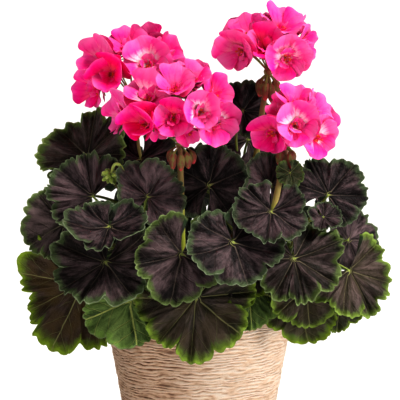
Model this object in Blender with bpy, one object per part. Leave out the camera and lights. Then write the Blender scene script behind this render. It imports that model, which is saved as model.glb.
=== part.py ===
import math
import random

import bmesh
import bpy
import numpy as np

# A potted pelargonium with dark, zoned leaves and four pink flower heads.
# Lengths below are in millimetres. The pot stands on z = 0, centred on the Z axis,
# and the plant's face looks along -Y.
TO_METRES = 0.001
GAP = 0.3

POT_HEIGHT = 160.0
POT_TOP_RADIUS = 96.5
POT_FOOT_RADIUS = 67.5
POT_WALL = 7.0
POT_SEGMENTS = 30
POT_RINGS = 9
COMB_DEPTH = 0.8
SHARP_EDGE = math.radians(35)
SOIL_EDGE = 145.0
SOIL_CROWN = 149.0
SOIL_CROWN_RADIUS = 40.0
SOIL_CLEARANCE = 0.5

BLADE_THICKNESS = 0.8
LARGE_LEAF = 48.0
LOBE_NOTCH = 0.15
PLEAT = 0.045
RUFFLE = 0.07
LOBE_RIM = (0.0, 0.3, 0.7)
INNER_RING = 0.55
PETIOLE_RADII = (2.0, 1.75, 1.55, 1.2)
PETIOLE_SIDES = 3
LOWEST_LEAF_Z = 170.0
HIGHEST_LEAF_Z = 280.0
LOWEST_LEAF_SHARE = 0.25
HIGHEST_LEAF_SHARE = 0.85

STEM_FOOT_Z = 110.0
STEM_RADII = (5.5, 5.5, 5.0, 4.4)
STEM_SIDES = 6
HOLE_CLEARANCE = 0.5
HOLE_HEIGHT = 60.0

FLOWER_STALK_RADIUS = 3.3
FLOWER_STALK_SIDES = 5
KNOB_RADIUS = 5.0
KNOB_HEIGHT = 8.0
PEDICEL_RADIUS = 0.9
PEDICEL_SIDES = 4
BUD_RADIUS = 3.3
CALYX_RADIUS = 2.3
CALYX_LENGTH = 7.0
PETAL_THICKNESS = 0.7
PETAL_HALF_WIDTH = 0.52
PETAL_TWIST = math.radians(14)
FLOOR_RADIUS = 2.6
PETAL_WIDTHS = ((0.58, 0.92), (0.97, 0.50))
YOUNG_BUDS = 9
YOUNG_BUD_RADIUS = 2.4

# Every leafy stem: its foot on the soil (x, y), its bend, and its cut top (x, y, z).
STEMS = {
    "leafy_stem_1": ((-46, -38), (-52, -48, 185), (-58, -58, 218)),
    "leafy_stem_2": ((-44, 6), (-50, 10, 205), (-56, 8, 258)),
    "leafy_stem_3": ((-14, -44), (-15, -52, 180), (-16, -58, 214)),
    "leafy_stem_4": ((18, -46), (24, -56, 172), (30, -66, 200)),
    "leafy_stem_5": ((48, -34), (56, -46, 185), (64, -56, 220)),
    "leafy_stem_6": ((56, 6), (78, 0, 190), (92, -8, 220)),
    "leafy_stem_7": ((14, 4), (30, 10, 205), (48, 14, 258)),
    "leafy_stem_8": ((-18, 46), (-26, 62, 185), (-34, 74, 212)),
    "leafy_stem_9": ((30, 44), (42, 60, 185), (52, 70, 212)),
}

# Every leaf: stem, centre where its stalk joins (x, y, z), radius, yaw and tilt of its upper
# face, roll of its middle lobe, cup, droop of the front lobes, opening of the notch in degrees.
# Yaw 0 looks at the viewer and 90 to the viewer's right. Tilt 0 is upright and 90 looks up.
LEAVES = [
    ("leafy_stem_2", (-110, -21, 308), 50, -25, 34, -125, 0.12, 0.00, 36),
    ("leafy_stem_2", (-87, 16, 301), 36, 20, 28, 150, 0.15, 0.00, 40),
    ("leafy_stem_7", (-58, -20, 305), 40, 0, 55, 0, 0.10, 0.10, 30),
    ("leafy_stem_3", (-49, -73, 274), 39, 25, 25, 150, 0.14, 0.00, 40),
    ("leafy_stem_2", (-102, -70, 274), 48, -10, 36, -128, 0.12, 0.00, 170),
    ("leafy_stem_1", (-131, -58, 246), 42, -13, 24, -65, 0.12, 0.05, 40),
    ("leafy_stem_1", (-85, -114, 251), 41, -10, 54, -4, 0.30, 0.00, 32),
    ("leafy_stem_1", (-88, -109, 216), 52, -8, 42, -12, 0.14, 0.04, 26),
    ("leafy_stem_1", (-113, -71, 189), 68, -20, 10, -20, 0.05, 0.05, 80),
    ("leafy_stem_3", (-66, -111, 179), 46, -5, 20, 5, 0.05, 0.05, 30),
    ("leafy_stem_1", (-92, -63, 174), 44, -12, 15, 0, 0.05, 0.05, 30),
    ("leafy_stem_4", (-3, -120, 184), 59, -5, 20, 3, 0.06, 0.06, 40),
    ("leafy_stem_3", (-16, -124, 226), 47, 6, 30, -12, 0.05, 0.16, 28),
    ("leafy_stem_4", (32, -134, 239), 47, 10, 38, 6, 0.08, 0.06, 26),
    ("leafy_stem_5", (68, -121, 266), 38, 0, 46, -12, 0.10, 0.08, 40),
    ("leafy_stem_5", (90, -111, 220), 50, 10, 43, 8, 0.08, 0.08, 30),
    ("leafy_stem_6", (126, -50, 273), 40, 16, 20, 140, 0.10, 0.00, 80),
    ("leafy_stem_6", (146, -46, 228), 38, 36, 22, 80, 0.10, 0.05, 50),
    ("leafy_stem_6", (144, -82, 204), 50, 30, 18, 26, 0.05, 0.10, 130),
    ("leafy_stem_6", (137, -61, 170), 30, 20, 8, 0, 0.05, 0.05, 40),
    ("leafy_stem_5", (102, -94, 190), 41, 16, 16, 10, 0.05, 0.10, 30),
    ("leafy_stem_5", (97, -80, 176), 44, 15, 8, 4, 0.05, 0.05, 34),
    ("leafy_stem_4", (34, -103, 208), 38, 4, 31, 6, 0.05, 0.12, 30),
    ("leafy_stem_4", (48, -98, 188), 40, 11, 16, 4, 0.06, 0.05, 40),
    ("leafy_stem_5", (119, -84, 256), 19, 20, 46, 34, 0.20, 0.00, 30),
    ("leafy_stem_7", (88, -62, 296), 15, 0, 20, 6, 0.10, 0.10, 40),
    ("leafy_stem_7", (70, -53, 282), 36, 33, 24, 150, 0.16, 0.00, 30),
    ("leafy_stem_3", (10, -38, 281), 44, -24, 13, 176, 0.08, 0.00, 30),
    ("leafy_stem_7", (44, 17, 350), 30, 15, 16, 147, 0.16, 0.00, 30),
    ("leafy_stem_7", (50, 40, 319), 40, 7, 25, 155, 0.10, 0.05, 30),
    ("leafy_stem_3", (-38, -82, 245), 19, 3, 50, 24, 0.16, 0.00, 30),
    ("leafy_stem_1", (-131, -23, 232), 38, -60, 30, -40, 0.10, 0.06, 30),
    ("leafy_stem_2", (-110, 40, 262), 46, -95, 46, -14, 0.10, 0.12, 26),
    ("leafy_stem_2", (-129, -12, 204), 44, -90, 22, -12, 0.06, 0.10, 30),
    ("leafy_stem_8", (-104, 74, 224), 46, -128, 44, 0, 0.10, 0.12, 26),
    ("leafy_stem_8", (-120, 62, 182), 44, -118, 16, 0, 0.06, 0.10, 30),
    ("leafy_stem_8", (-57, 131, 235), 48, -147, 56, 8, 0.10, 0.12, 26),
    ("leafy_stem_8", (-67, 107, 184), 44, -150, 12, 5, 0.06, 0.10, 30),
    ("leafy_stem_8", (-6, 89, 257), 44, 176, 58, 3, 0.10, 0.12, 26),
    ("leafy_stem_8", (-9, 129, 201), 48, 180, 30, 12, 0.06, 0.12, 30),
    ("leafy_stem_9", (51, 113, 239), 44, 162, 41, 0, 0.10, 0.12, 26),
    ("leafy_stem_9", (53, 97, 197), 46, 156, 16, 0, 0.06, 0.10, 30),
    ("leafy_stem_9", (100, 75, 226), 46, 129, 42, 0, 0.10, 0.12, 26),
    ("leafy_stem_9", (115, 96, 172), 44, 120, 23, 0, 0.06, 0.10, 30),
    ("leafy_stem_6", (129, 24, 246), 44, 95, 43, 2, 0.10, 0.12, 26),
    ("leafy_stem_6", (140, 22, 192), 44, 88, 18, 0, 0.06, 0.10, 30),
    ("leafy_stem_2", (-64, 80, 284), 42, -153, 63, 17, 0.10, 0.12, 26),
    ("leafy_stem_7", (88, 73, 286), 42, 93, 73, 22, 0.10, 0.12, 26),
    ("leafy_stem_9", (15, 64, 283), 42, 170, 77, -5, 0.10, 0.12, 26),
    ("leafy_stem_7", (-16, 13, 302), 40, -124, 81, 3, 0.10, 0.10, 26),
]

# Every flower head: its stalk's path from a leafy stem's cut top to the knob, then its flowers
# (calyx top, petal length, yaw, tilt, roll, cup) and its hanging buds (yaw, reach, drop, length).
HEADS = {
    "1": {
        "stem": "leafy_stem_2",
        "path": [(-60, 10, 300), (-65, 14, 340), (-66, 15, 362)],
        "flowers": [
            ((-85, -25, 389), 29, -10, 4, 72, 0.80),
            ((-91, -8, 400), 26, -44, 18, -18, 0.50),
            ((-96, -9, 375), 25, -46, -12, 42, 0.50),
            ((-50, -22, 396), 28, 2, 20, -20, 0.35),
            ((-70, 4, 408), 25, -4, 50, -28, 0.45),
            ((-40, 11, 398), 27, 55, 26, -10, 0.40),
            ((-84, 22, 400), 24, -125, 64, 30, 0.40),
            ((-50, 16, 405), 27, 180, 50, 15, 0.40),
            ((-48, 16, 378), 26, 110, -15, -44, 0.45),
        ],
        "buds": [(10, 8, 14, 13), (130, 9, 16, 14), (-110, 9, 15, 12)],
    },
    "2": {
        "stem": "leafy_stem_3",
        "path": [(-17, -56, 260), (-18, -46, 300), (-18, -42, 322)],
        "flowers": [
            ((-48, -80, 344), 28, -20, 8, 0, 0.85),
            ((-24, -80, 350), 27, 0, 6, 18, 0.55),
            ((0, -86, 356), 26, 12, 10, 20, 0.55),
            ((12, -60, 345), 27, 28, -10, -6, 0.35),
            ((-48, -61, 363), 27, -8, 42, 20, 0.35),
            ((-23, -71, 373), 25, 2, 50, 20, 0.50),
            ((-8, -49, 379), 24, 8, 62, -12, 0.40),
            ((12, -45, 365), 23, 38, 30, -16, 0.40),
            ((-66, -61, 350), 26, -70, 8, 8, 0.40),
            ((-44, -26, 353), 25, -150, 40, 36, 0.40),
            ((-12, -34, 369), 30, 186, 44, -26, 0.40),
        ],
        "buds": [
            (-30, 14, 20, 16),
            (2, 13, 22, 16),
            (32, 13, 19, 15),
            (70, 12, 14, 13),
            (-70, 10, 12, 12),
            (160, 9, 14, 12),
        ],
    },
    "3": {
        "stem": "leafy_stem_7",
        "path": [(58, 8, 310), (63, 5, 350), (69, 5, 390)],
        "flowers": [
            ((43, -20, 412), 26, -26, -2, 8, 0.50),
            ((84, -33, 406), 26, 10, -4, 42, 0.25),
            ((64, -14, 412), 27, 4, 26, 16, 0.65),
            ((79, 0, 427), 28, 24, 56, 20, 0.40),
            ((94, -5, 414), 25, 56, 4, -38, 0.40),
            ((53, 12, 421), 26, -38, 50, -78, 0.40),
            ((85, 20, 420), 27, 180, 62, 0, 0.40),
            ((50, 19, 412), 31, -166, 25, -82, 0.40),
        ],
        "buds": [
            (-50, 9, 22, 16),
            (-15, 10, 26, 18),
            (15, 10, 30, 19),
            (50, 9, 24, 17),
            (110, 8, 20, 15),
            (-110, 8, 18, 15),
            (180, 9, 22, 16),
        ],
    },
    "4": {
        "stem": "leafy_stem_5",
        "path": [(72, -72, 262), (81, -50, 300), (85, -42, 322)],
        "flowers": [
            ((73, -66, 336), 25, -26, -8, 40, 0.50),
            ((91, -79, 342), 28, 8, 12, 54, 0.50),
            ((110, -59, 331), 25, 32, -4, 46, 0.35),
            ((92, -58, 357), 23, 8, 60, 24, 0.40),
            ((107, -43, 349), 23, 56, 28, 46, 0.40),
            ((84, -50, 349), 19, -38, 44, -46, 0.50),
            ((100, -27, 356), 23, 160, 78, -48, 0.40),
            ((107, -33, 337), 28, 150, 15, 80, 0.40),
        ],
        "buds": [(-40, 9, 14, 14), (20, 11, 18, 15), (140, 9, 16, 14)],
    },
}

YOUNG_STEM = "leafy_stem_1"
YOUNG_PATH = [
    (-64, -66, 245),
    (-69, -70, 270),
    (-70, -72, 286),
    (-75, -72, 303),
    (-81, -72, 305),
    (-84, -72, 296),
]
YOUNG_RADII = (3.5, 2.4, 1.9, 1.8, 1.7, 1.6, 1.6)
YOUNG_TIP = (-0.2, 0.0, -1.0)
GOLDEN_TURN = 2.4
UP = np.array((0.0, 0.0, 1.0))


def facing(yaw, tilt, roll):
    """Columns: the middle lobe's direction, the direction to its left, and the upper face."""
    yaw, tilt, roll = (math.radians(v) for v in (yaw, tilt, roll))
    normal = np.array((math.sin(yaw) * math.cos(tilt), -math.cos(yaw) * math.cos(tilt), math.sin(tilt)))
    down = np.array((math.sin(yaw) * math.sin(tilt), -math.cos(yaw) * math.sin(tilt), -math.cos(tilt)))
    side = np.array((math.cos(yaw), math.sin(yaw), 0.0))
    forward = math.cos(roll) * down + math.sin(roll) * side
    return np.column_stack((forward, np.cross(normal, forward), normal))


def lobes_of(radius):
    return 7 if radius >= LARGE_LEAF else 5


def leaf_reach(angle, half, lobes):
    """The blade's edge, as a share of its radius, at an angle from the middle lobe."""
    lobe = 2.0 * half / lobes
    in_lobe = 2.0 * abs(angle / lobe - round(angle / lobe))
    body = 1.0 - 0.15 * (abs(angle) / half) ** 2.2
    return body * (1.0 - LOBE_NOTCH * in_lobe**3)


def leaf_point(angle, share, leaf, phase):
    """A point of the blade's middle surface, in the leaf's own frame."""
    radius, cup, droop, opening = leaf
    half = math.pi - math.radians(opening) / 2.0
    lobes = lobes_of(radius)
    lobe = 2.0 * half / lobes
    out = share * leaf_reach(angle, half, lobes)
    lift = cup * out**2 - droop * out**2 * math.cos(angle)
    lift += PLEAT * out * math.cos(2.0 * math.pi * angle / lobe)
    lift += RUFFLE * out**3 * (math.sin(3.0 * angle + phase) + 0.6 * math.sin(5.0 * angle + 2.3 * phase))
    flat = out * (1.0 - 0.25 * (cup**2 + droop**2) * out**2)
    return radius * np.array((flat * math.cos(angle), flat * math.sin(angle), lift))


def plate(points, faces, thickness):
    """A thin closed body from a sheet of points, thickened along the sheet's own normals."""
    points = np.array(points, float)
    normals = np.zeros_like(points)
    for a, b, c in faces:
        turned = np.cross(points[b] - points[a], points[c] - points[a])
        for corner in (a, b, c):
            normals[corner] += turned
    normals /= np.linalg.norm(normals, axis=1)[:, None]
    count = len(points)
    both = np.vstack((points + normals * thickness / 2, points - normals * thickness / 2))
    shell = list(faces) + [(c + count, b + count, a + count) for a, b, c in faces]
    edges = {(f[i], f[(i + 1) % 3]) for f in faces for i in range(3)}
    for a, b in sorted(edges):
        if (b, a) not in edges:
            shell += [(b, a, a + count), (b, a + count, b + count)]
    return both, shell


def leaf_blade(centre, radius, yaw, tilt, roll, cup, droop, opening, phase):
    half = math.pi - math.radians(opening) / 2.0
    lobes = lobes_of(radius)
    lobe = 2.0 * half / lobes
    leaf = (radius, cup, droop, opening)
    points = [leaf_point(0.0, 0.0, leaf, phase)]
    inner = [-half + lobe * k for k in range(lobes + 1)]
    points += [leaf_point(angle, INNER_RING, leaf, phase) for angle in inner]
    outer = []
    for k in range(lobes):
        outer += [-half + lobe * (k + share) for share in LOBE_RIM]
    outer.append(half)
    first_outer = len(points)
    points += [leaf_point(angle, 1.0, leaf, phase) for angle in outer]
    faces = []
    for k in range(lobes):
        near, after = 1 + k, 2 + k
        rim = first_outer + 3 * k
        faces.append((0, near, after))
        faces.append((near, rim, rim + 1))
        faces.append((near, rim + 1, after))
        faces.append((after, rim + 1, rim + 2))
        faces.append((after, rim + 2, rim + 3))
    frame = facing(yaw, tilt, roll)
    placed = np.array(points) @ frame.T + np.array(centre, float)
    return plate(placed, faces, BLADE_THICKNESS)


def tube(path, radii, sides, start=None, end=None):
    """A closed round rod along a path. Start and end are its directions at the two caps."""
    path = np.array(path, float)
    along = np.gradient(path, axis=0)
    if start is not None:
        along[0] = start
    if end is not None:
        along[-1] = end
    along /= np.linalg.norm(along, axis=1)[:, None]
    across = np.cross(along[0], (0.31, 0.87, 0.11))
    points = []
    for centre, direction, radius in zip(path, along, radii):
        across = across - direction * across.dot(direction)
        across /= np.linalg.norm(across)
        other = np.cross(direction, across)
        for k in range(sides):
            turn = 2.0 * math.pi * (k + 0.5) / sides
            points.append(centre + radius * (math.cos(turn) * across + math.sin(turn) * other))
    faces = []
    for ring in range(len(path) - 1):
        for k in range(sides):
            a = ring * sides + k
            b = ring * sides + (k + 1) % sides
            faces += [(a, b, b + sides), (a, b + sides, a + sides)]
    last = (len(path) - 1) * sides
    for k in range(1, sides - 1):
        faces.append((0, k + 1, k))
        faces.append((last, last + k, last + k + 1))
    return np.array(points), faces


def curve(p0, p1, p2, p3, steps):
    """Points along a smooth curve between p0 and p3."""
    made = []
    for step in range(steps + 1):
        t = step / steps
        u = 1.0 - t
        made.append(u**3 * p0 + 3 * u * u * t * p1 + 3 * u * t * t * p2 + t**3 * p3)
    return made


def stem_path(name):
    foot, bend, top = STEMS[name]
    foot = np.array((foot[0], foot[1], STEM_FOOT_Z), float)
    soil = np.array((foot[0], foot[1], SOIL_CROWN + 6.0))
    return [foot, soil, np.array(bend, float), np.array(top, float)]


def stem_end(name):
    """The cut top of a leafy stem and the direction that it points in."""
    path = stem_path(name)
    along = path[-1] - path[-2]
    return path[-1], along / np.linalg.norm(along)


def point_on_stem(name, share):
    """A point on the bare stem above the soil, at a share of the way to its top."""
    soil, bend, top = stem_path(name)[1:]
    if share < 0.5:
        return soil + (bend - soil) * share * 2.0
    return bend + (top - bend) * (share - 0.5) * 2.0


def petiole(name, centre, yaw, tilt, roll, radius):
    """A leaf stalk from the stem into the centre of a blade. High leaves spring from high up."""
    height = (centre[2] - LOWEST_LEAF_Z) / (HIGHEST_LEAF_Z - LOWEST_LEAF_Z)
    height = min(1.0, max(0.0, height))
    share = LOWEST_LEAF_SHARE + (HIGHEST_LEAF_SHARE - LOWEST_LEAF_SHARE) * height
    frame = facing(yaw, tilt, roll)
    forward, normal = frame[:, 0], frame[:, 2]
    root = point_on_stem(name, share)
    tip = np.array(centre, float) + normal * 0.1
    span = np.linalg.norm(tip - root)
    level = tip - root
    level[2] = 0.0
    level /= max(np.linalg.norm(level), 1.0)
    leave = root + (level * 0.25 + np.array((0, 0, 0.30))) * span
    arrive = tip - (normal * 0.26 + forward * 0.22) * span
    path = curve(root, leave, arrive, tip, len(PETIOLE_RADII) - 1)
    thin = min(1.0, 0.6 + radius / 110.0)
    return tube(path, [r * thin for r in PETIOLE_RADII], PETIOLE_SIDES, end=normal)


def leafy_stem_bodies(name):
    path = stem_path(name)
    end = stem_end(name)[1]
    bodies = [tube(path, STEM_RADII, STEM_SIDES, start=UP, end=end)]
    for k, leaf in enumerate(LEAVES):
        if leaf[0] != name:
            continue
        centre, radius, yaw, tilt, roll, cup, droop, opening = leaf[1:]
        bodies.append(petiole(name, centre, yaw, tilt, roll, radius))
        bodies.append(leaf_blade(centre, radius, yaw, tilt, roll, cup, droop, opening, 0.9 * k))
    return bodies


def petal_profile(share, cup):
    """How far out and how far up a petal has come at a share of its length, as shares of it."""
    first = math.radians(35.0 + 45.0 * cup)
    last = math.radians(-5.0 + 60.0 * cup)
    now = first + (last - first) * share
    out = (math.sin(now) - math.sin(first)) / (last - first)
    lift = (math.cos(first) - math.cos(now)) / (last - first)
    return out, lift


def flower_body(flower, seed):
    """Five petals that leave one small floor, just clear of the calyx, as one body."""
    calyx, petal, yaw, tilt, roll, cup = flower
    frame = facing(yaw, tilt, roll)
    base = np.array(calyx, float) + frame[:, 2] * (GAP + PETAL_THICKNESS / 2)
    chance = random.Random(seed)
    points = []
    faces = [(0, 1, 2), (0, 2, 3), (0, 3, 4)]
    for k in range(5):
        turn = math.radians(72 * k - 36)
        points.append((FLOOR_RADIUS * math.cos(turn), FLOOR_RADIUS * math.sin(turn), 0.0))
    for k in range(5):
        turn = math.radians(72 * k + chance.uniform(-4, 4))
        length = petal * chance.uniform(0.95, 1.05)
        opened = cup * chance.uniform(0.88, 1.12)
        first = len(points)
        for share, half in PETAL_WIDTHS:
            out, lift = petal_profile(share, opened)
            for side in (1, -1):
                across = length * PETAL_HALF_WIDTH * half * side
                away = FLOOR_RADIUS * 0.8 + length * out
                x = away * math.cos(turn) - across * math.cos(PETAL_TWIST) * math.sin(turn)
                y = away * math.sin(turn) + across * math.cos(PETAL_TWIST) * math.cos(turn)
                points.append((x, y, length * lift + across * math.sin(PETAL_TWIST)))
        right, left = k, (k + 1) % 5
        faces += [(right, first + 1, first), (right, first, left)]
        faces += [(first + 1, first + 3, first + 2), (first + 1, first + 2, first)]
    return plate(np.array(points) @ frame.T + base, faces, PETAL_THICKNESS)


def bud(root, neck, away, length, thick):
    """A bud on a short stalk, as one rod that swells and closes to a tip."""
    along = away / np.linalg.norm(away)
    path = [root, neck + along * length * 0.45, neck + along * length]
    return tube(path, (PEDICEL_RADIUS, thick, 0.8), PEDICEL_SIDES, end=along)


def flower_stalk_bodies(head):
    made = HEADS[head]
    top, along = stem_end(made["stem"])
    path = [top + along * GAP] + [np.array(p, float) for p in made["path"]]
    rise = path[-1] - path[-2]
    rise /= np.linalg.norm(rise)
    bodies = [tube(path, [FLOWER_STALK_RADIUS] * len(path), FLOWER_STALK_SIDES, start=along, end=rise)]
    knob = path[-1]
    swelling = [knob - rise * KNOB_HEIGHT / 2, knob, knob + rise * KNOB_HEIGHT / 2]
    widths = (FLOWER_STALK_RADIUS, KNOB_RADIUS, FLOWER_STALK_RADIUS)
    bodies.append(tube(swelling, widths, FLOWER_STALK_SIDES, start=rise, end=rise))
    for calyx, petal, yaw, tilt, roll, cup in made["flowers"]:
        axis = facing(yaw, tilt, roll)[:, 2]
        calyx = np.array(calyx, float)
        under = calyx - axis * CALYX_LENGTH
        reach = [knob, under, calyx]
        widths = (PEDICEL_RADIUS, PEDICEL_RADIUS * 1.2, CALYX_RADIUS)
        bodies.append(tube(reach, widths, PEDICEL_SIDES, end=axis))
    for yaw, reach, drop, length in made["buds"]:
        turn = math.radians(yaw)
        out = np.array((math.sin(turn), -math.cos(turn), 0.0))
        start = knob - rise * 1.5
        neck = start + out * reach * 0.9 - UP * drop * 0.35
        bodies.append(bud(start, neck, out * 0.22 - UP, length, BUD_RADIUS))
    return bodies


def young_bodies():
    top, along = stem_end(YOUNG_STEM)
    path = [top + along * GAP] + [np.array(p, float) for p in YOUNG_PATH]
    bodies = [tube(path, YOUNG_RADII, 5, start=along, end=YOUNG_TIP)]
    knob = path[-1]
    chance = random.Random(5)
    for k in range(YOUNG_BUDS):
        turn = GOLDEN_TURN * k
        fall = -0.95 + 1.3 * k / (YOUNG_BUDS - 1)
        flat = math.sqrt(1.0 - fall * fall)
        away = np.array((math.cos(turn) * flat, math.sin(turn) * flat, fall))
        bodies.append(bud(knob, knob + away * 3.0, away, chance.uniform(7.0, 8.5), YOUNG_BUD_RADIUS))
    return bodies


def pot_radius(z):
    """The smooth outside of the pot: a straight taper with a slightly rounded lip and foot."""
    share = z / POT_HEIGHT
    radius = POT_FOOT_RADIUS + (POT_TOP_RADIUS - POT_FOOT_RADIUS) * share
    radius -= 3.0 * max(0.0, 1.0 - z / 5.0) ** 2
    return radius - 2.5 * max(0.0, (z - POT_HEIGHT + 6.0) / 6.0) ** 2


def turned(profile, segments, relief=None):
    """A body turned about Z from (radius, z) pairs, closed on the axis at both ends."""
    points = [(0.0, 0.0, profile[0][1]), (0.0, 0.0, profile[-1][1])]
    for ring, (radius, z) in enumerate(profile):
        for k in range(segments):
            turn = 2.0 * math.pi * k / segments
            out = radius + (relief(ring, turn) if relief else 0.0)
            points.append((out * math.cos(turn), out * math.sin(turn), z))
    faces = []
    last = 2 + (len(profile) - 1) * segments
    for k in range(segments):
        after = (k + 1) % segments
        faces.append((0, 2 + after, 2 + k))
        faces.append((1, last + k, last + after))
        for ring in range(len(profile) - 1):
            a = 2 + ring * segments + k
            b = 2 + ring * segments + after
            faces += [(a, b, b + segments), (a, b + segments, a + segments)]
    return np.array(points), faces


def comb(ring, turn):
    """The combed side's relief: wavy ridges, none on the foot, the lip or the inside."""
    if ring == 0 or ring > POT_RINGS:
        return 0.0
    return COMB_DEPTH * 0.5 * ((-1) ** ring + 0.8 * math.sin(5 * turn + 1.7 * ring))


def inner_radius(z):
    return POT_FOOT_RADIUS + (POT_TOP_RADIUS - POT_FOOT_RADIUS) * z / POT_HEIGHT - POT_WALL


def pot_body():
    profile = [(pot_radius(0.0) - 1.0, 0.0)]
    for ring in range(POT_RINGS + 1):
        z = 2.0 + (POT_HEIGHT - 5.0) * ring / POT_RINGS
        profile.append((pot_radius(z), z))
    profile.append((pot_radius(POT_HEIGHT), POT_HEIGHT))
    profile.append((inner_radius(POT_HEIGHT) + 2.0, POT_HEIGHT))
    profile.append((inner_radius(POT_HEIGHT), POT_HEIGHT - 4.0))
    profile.append((inner_radius(POT_WALL), POT_WALL))
    return turned(profile, POT_SEGMENTS, comb)


def soil_body():
    low = POT_WALL + GAP
    profile = [(inner_radius(z) - SOIL_CLEARANCE, z) for z in (low, SOIL_EDGE)]
    profile.append((SOIL_CROWN_RADIUS, SOIL_CROWN))
    return turned(profile, POT_SEGMENTS)


def mesh_object(name, body):
    """One object in the scene from points in millimetres and triangles."""
    points, faces = body
    mesh = bpy.data.meshes.new(name)
    shape = bmesh.new()
    corners = [shape.verts.new([float(v) * TO_METRES for v in point]) for point in points]
    for face in faces:
        shape.faces.new([corners[int(k)] for k in face])
    bmesh.ops.recalc_face_normals(shape, faces=shape.faces)
    if shape.calc_volume(signed=True) < 0:
        bmesh.ops.reverse_faces(shape, faces=shape.faces)
    shape.to_mesh(mesh)
    shape.free()
    obj = bpy.data.objects.new(name, mesh)
    bpy.context.scene.collection.objects.link(obj)
    return obj


def keep_largest(mesh):
    """Drops loose scraps and the inside walls of sealed hollows."""
    shape = bmesh.new()
    shape.from_mesh(mesh)
    bmesh.ops.triangulate(shape, faces=shape.faces)
    left = set(shape.faces)
    groups = []
    while left:
        group = [left.pop()]
        for face in group:
            for edge in face.edges:
                touching = [other for other in edge.link_faces if other in left]
                left.difference_update(touching)
                group += touching
        groups.append(group)
    groups.sort(key=lambda group: sum(face.calc_area() for face in group))
    for group in groups[:-1]:
        bmesh.ops.delete(shape, geom=group, context="FACES")
    shape.to_mesh(mesh)
    shape.free()


def apply_boolean(obj, others, operation, solver):
    """Joins the other objects to this one, or cuts them from it, and removes them."""
    helper = bpy.data.collections.new(obj.name + "_parts")
    bpy.context.scene.collection.children.link(helper)
    for other in others:
        bpy.context.scene.collection.objects.unlink(other)
        helper.objects.link(other)
    modifier = obj.modifiers.new(operation, "BOOLEAN")
    modifier.operation = operation
    modifier.operand_type = "COLLECTION"
    modifier.collection = helper
    modifier.solver = solver
    graph = bpy.context.evaluated_depsgraph_get()
    made = bpy.data.meshes.new_from_object(obj.evaluated_get(graph))
    obj.modifiers.clear()
    obj.data = made
    for other in others:
        bpy.data.objects.remove(other)
    bpy.data.collections.remove(helper)


def joined(name, bodies):
    """One node from many bodies that run into each other."""
    obj = mesh_object(name, bodies[0])
    others = [mesh_object(name + "_" + str(k), body) for k, body in enumerate(bodies[1:])]
    apply_boolean(obj, others, "UNION", "MANIFOLD")
    keep_largest(obj.data)
    return obj


def soil_object():
    """The potting soil, with a plain hole for the foot of every leafy stem."""
    soil = mesh_object("soil", soil_body())
    holes = []
    for name in STEMS:
        foot = stem_path(name)[0]
        ends = [foot - UP * GAP, foot + UP * HOLE_HEIGHT]
        wide = (STEM_RADII[0] + HOLE_CLEARANCE,) * 2
        holes.append(mesh_object(name + "_hole", tube(ends, wide, STEM_SIDES, start=UP, end=UP)))
    apply_boolean(soil, holes, "DIFFERENCE", "EXACT")
    return soil


def finish(obj, colour, roughness):
    """Smooth shading between its sharp edges, and a plain material of its own."""
    obj.data.shade_smooth()
    obj.data.set_sharp_from_angle(angle=SHARP_EDGE)
    material = bpy.data.materials.new(obj.name)
    material.use_nodes = True
    surface = material.node_tree.nodes["Principled BSDF"]
    surface.inputs["Base Color"].default_value = (*colour, 1.0)
    surface.inputs["Roughness"].default_value = roughness
    obj.data.materials.clear()
    obj.data.materials.append(material)


for old in list(bpy.data.objects):
    bpy.data.objects.remove(old)

finish(mesh_object("pot", pot_body()), (0.56, 0.36, 0.24), 0.85)
finish(soil_object(), (0.05, 0.03, 0.02), 0.95)
for name in STEMS:
    finish(joined(name, leafy_stem_bodies(name)), (0.05, 0.05, 0.04), 0.6)
for head in HEADS:
    finish(joined("flower_stalk_" + head, flower_stalk_bodies(head)), (0.25, 0.22, 0.06), 0.6)
    petals = [flower_body(f, 10 * int(head) + k) for k, f in enumerate(HEADS[head]["flowers"])]
    finish(joined("flowers_" + head, petals), (0.85, 0.03, 0.30), 0.55)
finish(joined("young_buds", young_bodies()), (0.30, 0.38, 0.08), 0.6)
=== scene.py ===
import math
import random

import bmesh
import bpy
import numpy as np
from mathutils import Matrix, Vector, noise


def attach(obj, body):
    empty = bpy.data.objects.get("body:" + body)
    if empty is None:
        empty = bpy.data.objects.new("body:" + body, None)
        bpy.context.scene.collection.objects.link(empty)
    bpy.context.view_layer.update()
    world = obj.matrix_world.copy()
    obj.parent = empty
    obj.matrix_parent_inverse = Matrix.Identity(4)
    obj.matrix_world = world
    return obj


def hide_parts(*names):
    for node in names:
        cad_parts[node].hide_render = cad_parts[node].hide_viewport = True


# A potted pelargonium: dark zoned leaves, four heads of half double pink flowers, a combed pot.
# Tables are in millimetres and degrees, as the solids have them. Meshes are made in metres.
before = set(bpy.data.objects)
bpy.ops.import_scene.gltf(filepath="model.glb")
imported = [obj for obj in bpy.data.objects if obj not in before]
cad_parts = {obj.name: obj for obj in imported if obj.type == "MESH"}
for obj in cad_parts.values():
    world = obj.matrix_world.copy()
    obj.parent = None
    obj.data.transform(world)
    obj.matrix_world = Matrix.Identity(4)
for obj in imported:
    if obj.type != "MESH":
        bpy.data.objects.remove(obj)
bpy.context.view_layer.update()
mm = 0.001
up = Vector((0.0, 0.0, 1.0))
gap = 0.3  # left between two solids that touch
creaseAngle = 50.0  # an edge sharper than this shows as a crease
goldenTurn = 2.4  # radians from one stamen or bud to the next, which spreads them evenly

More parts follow.
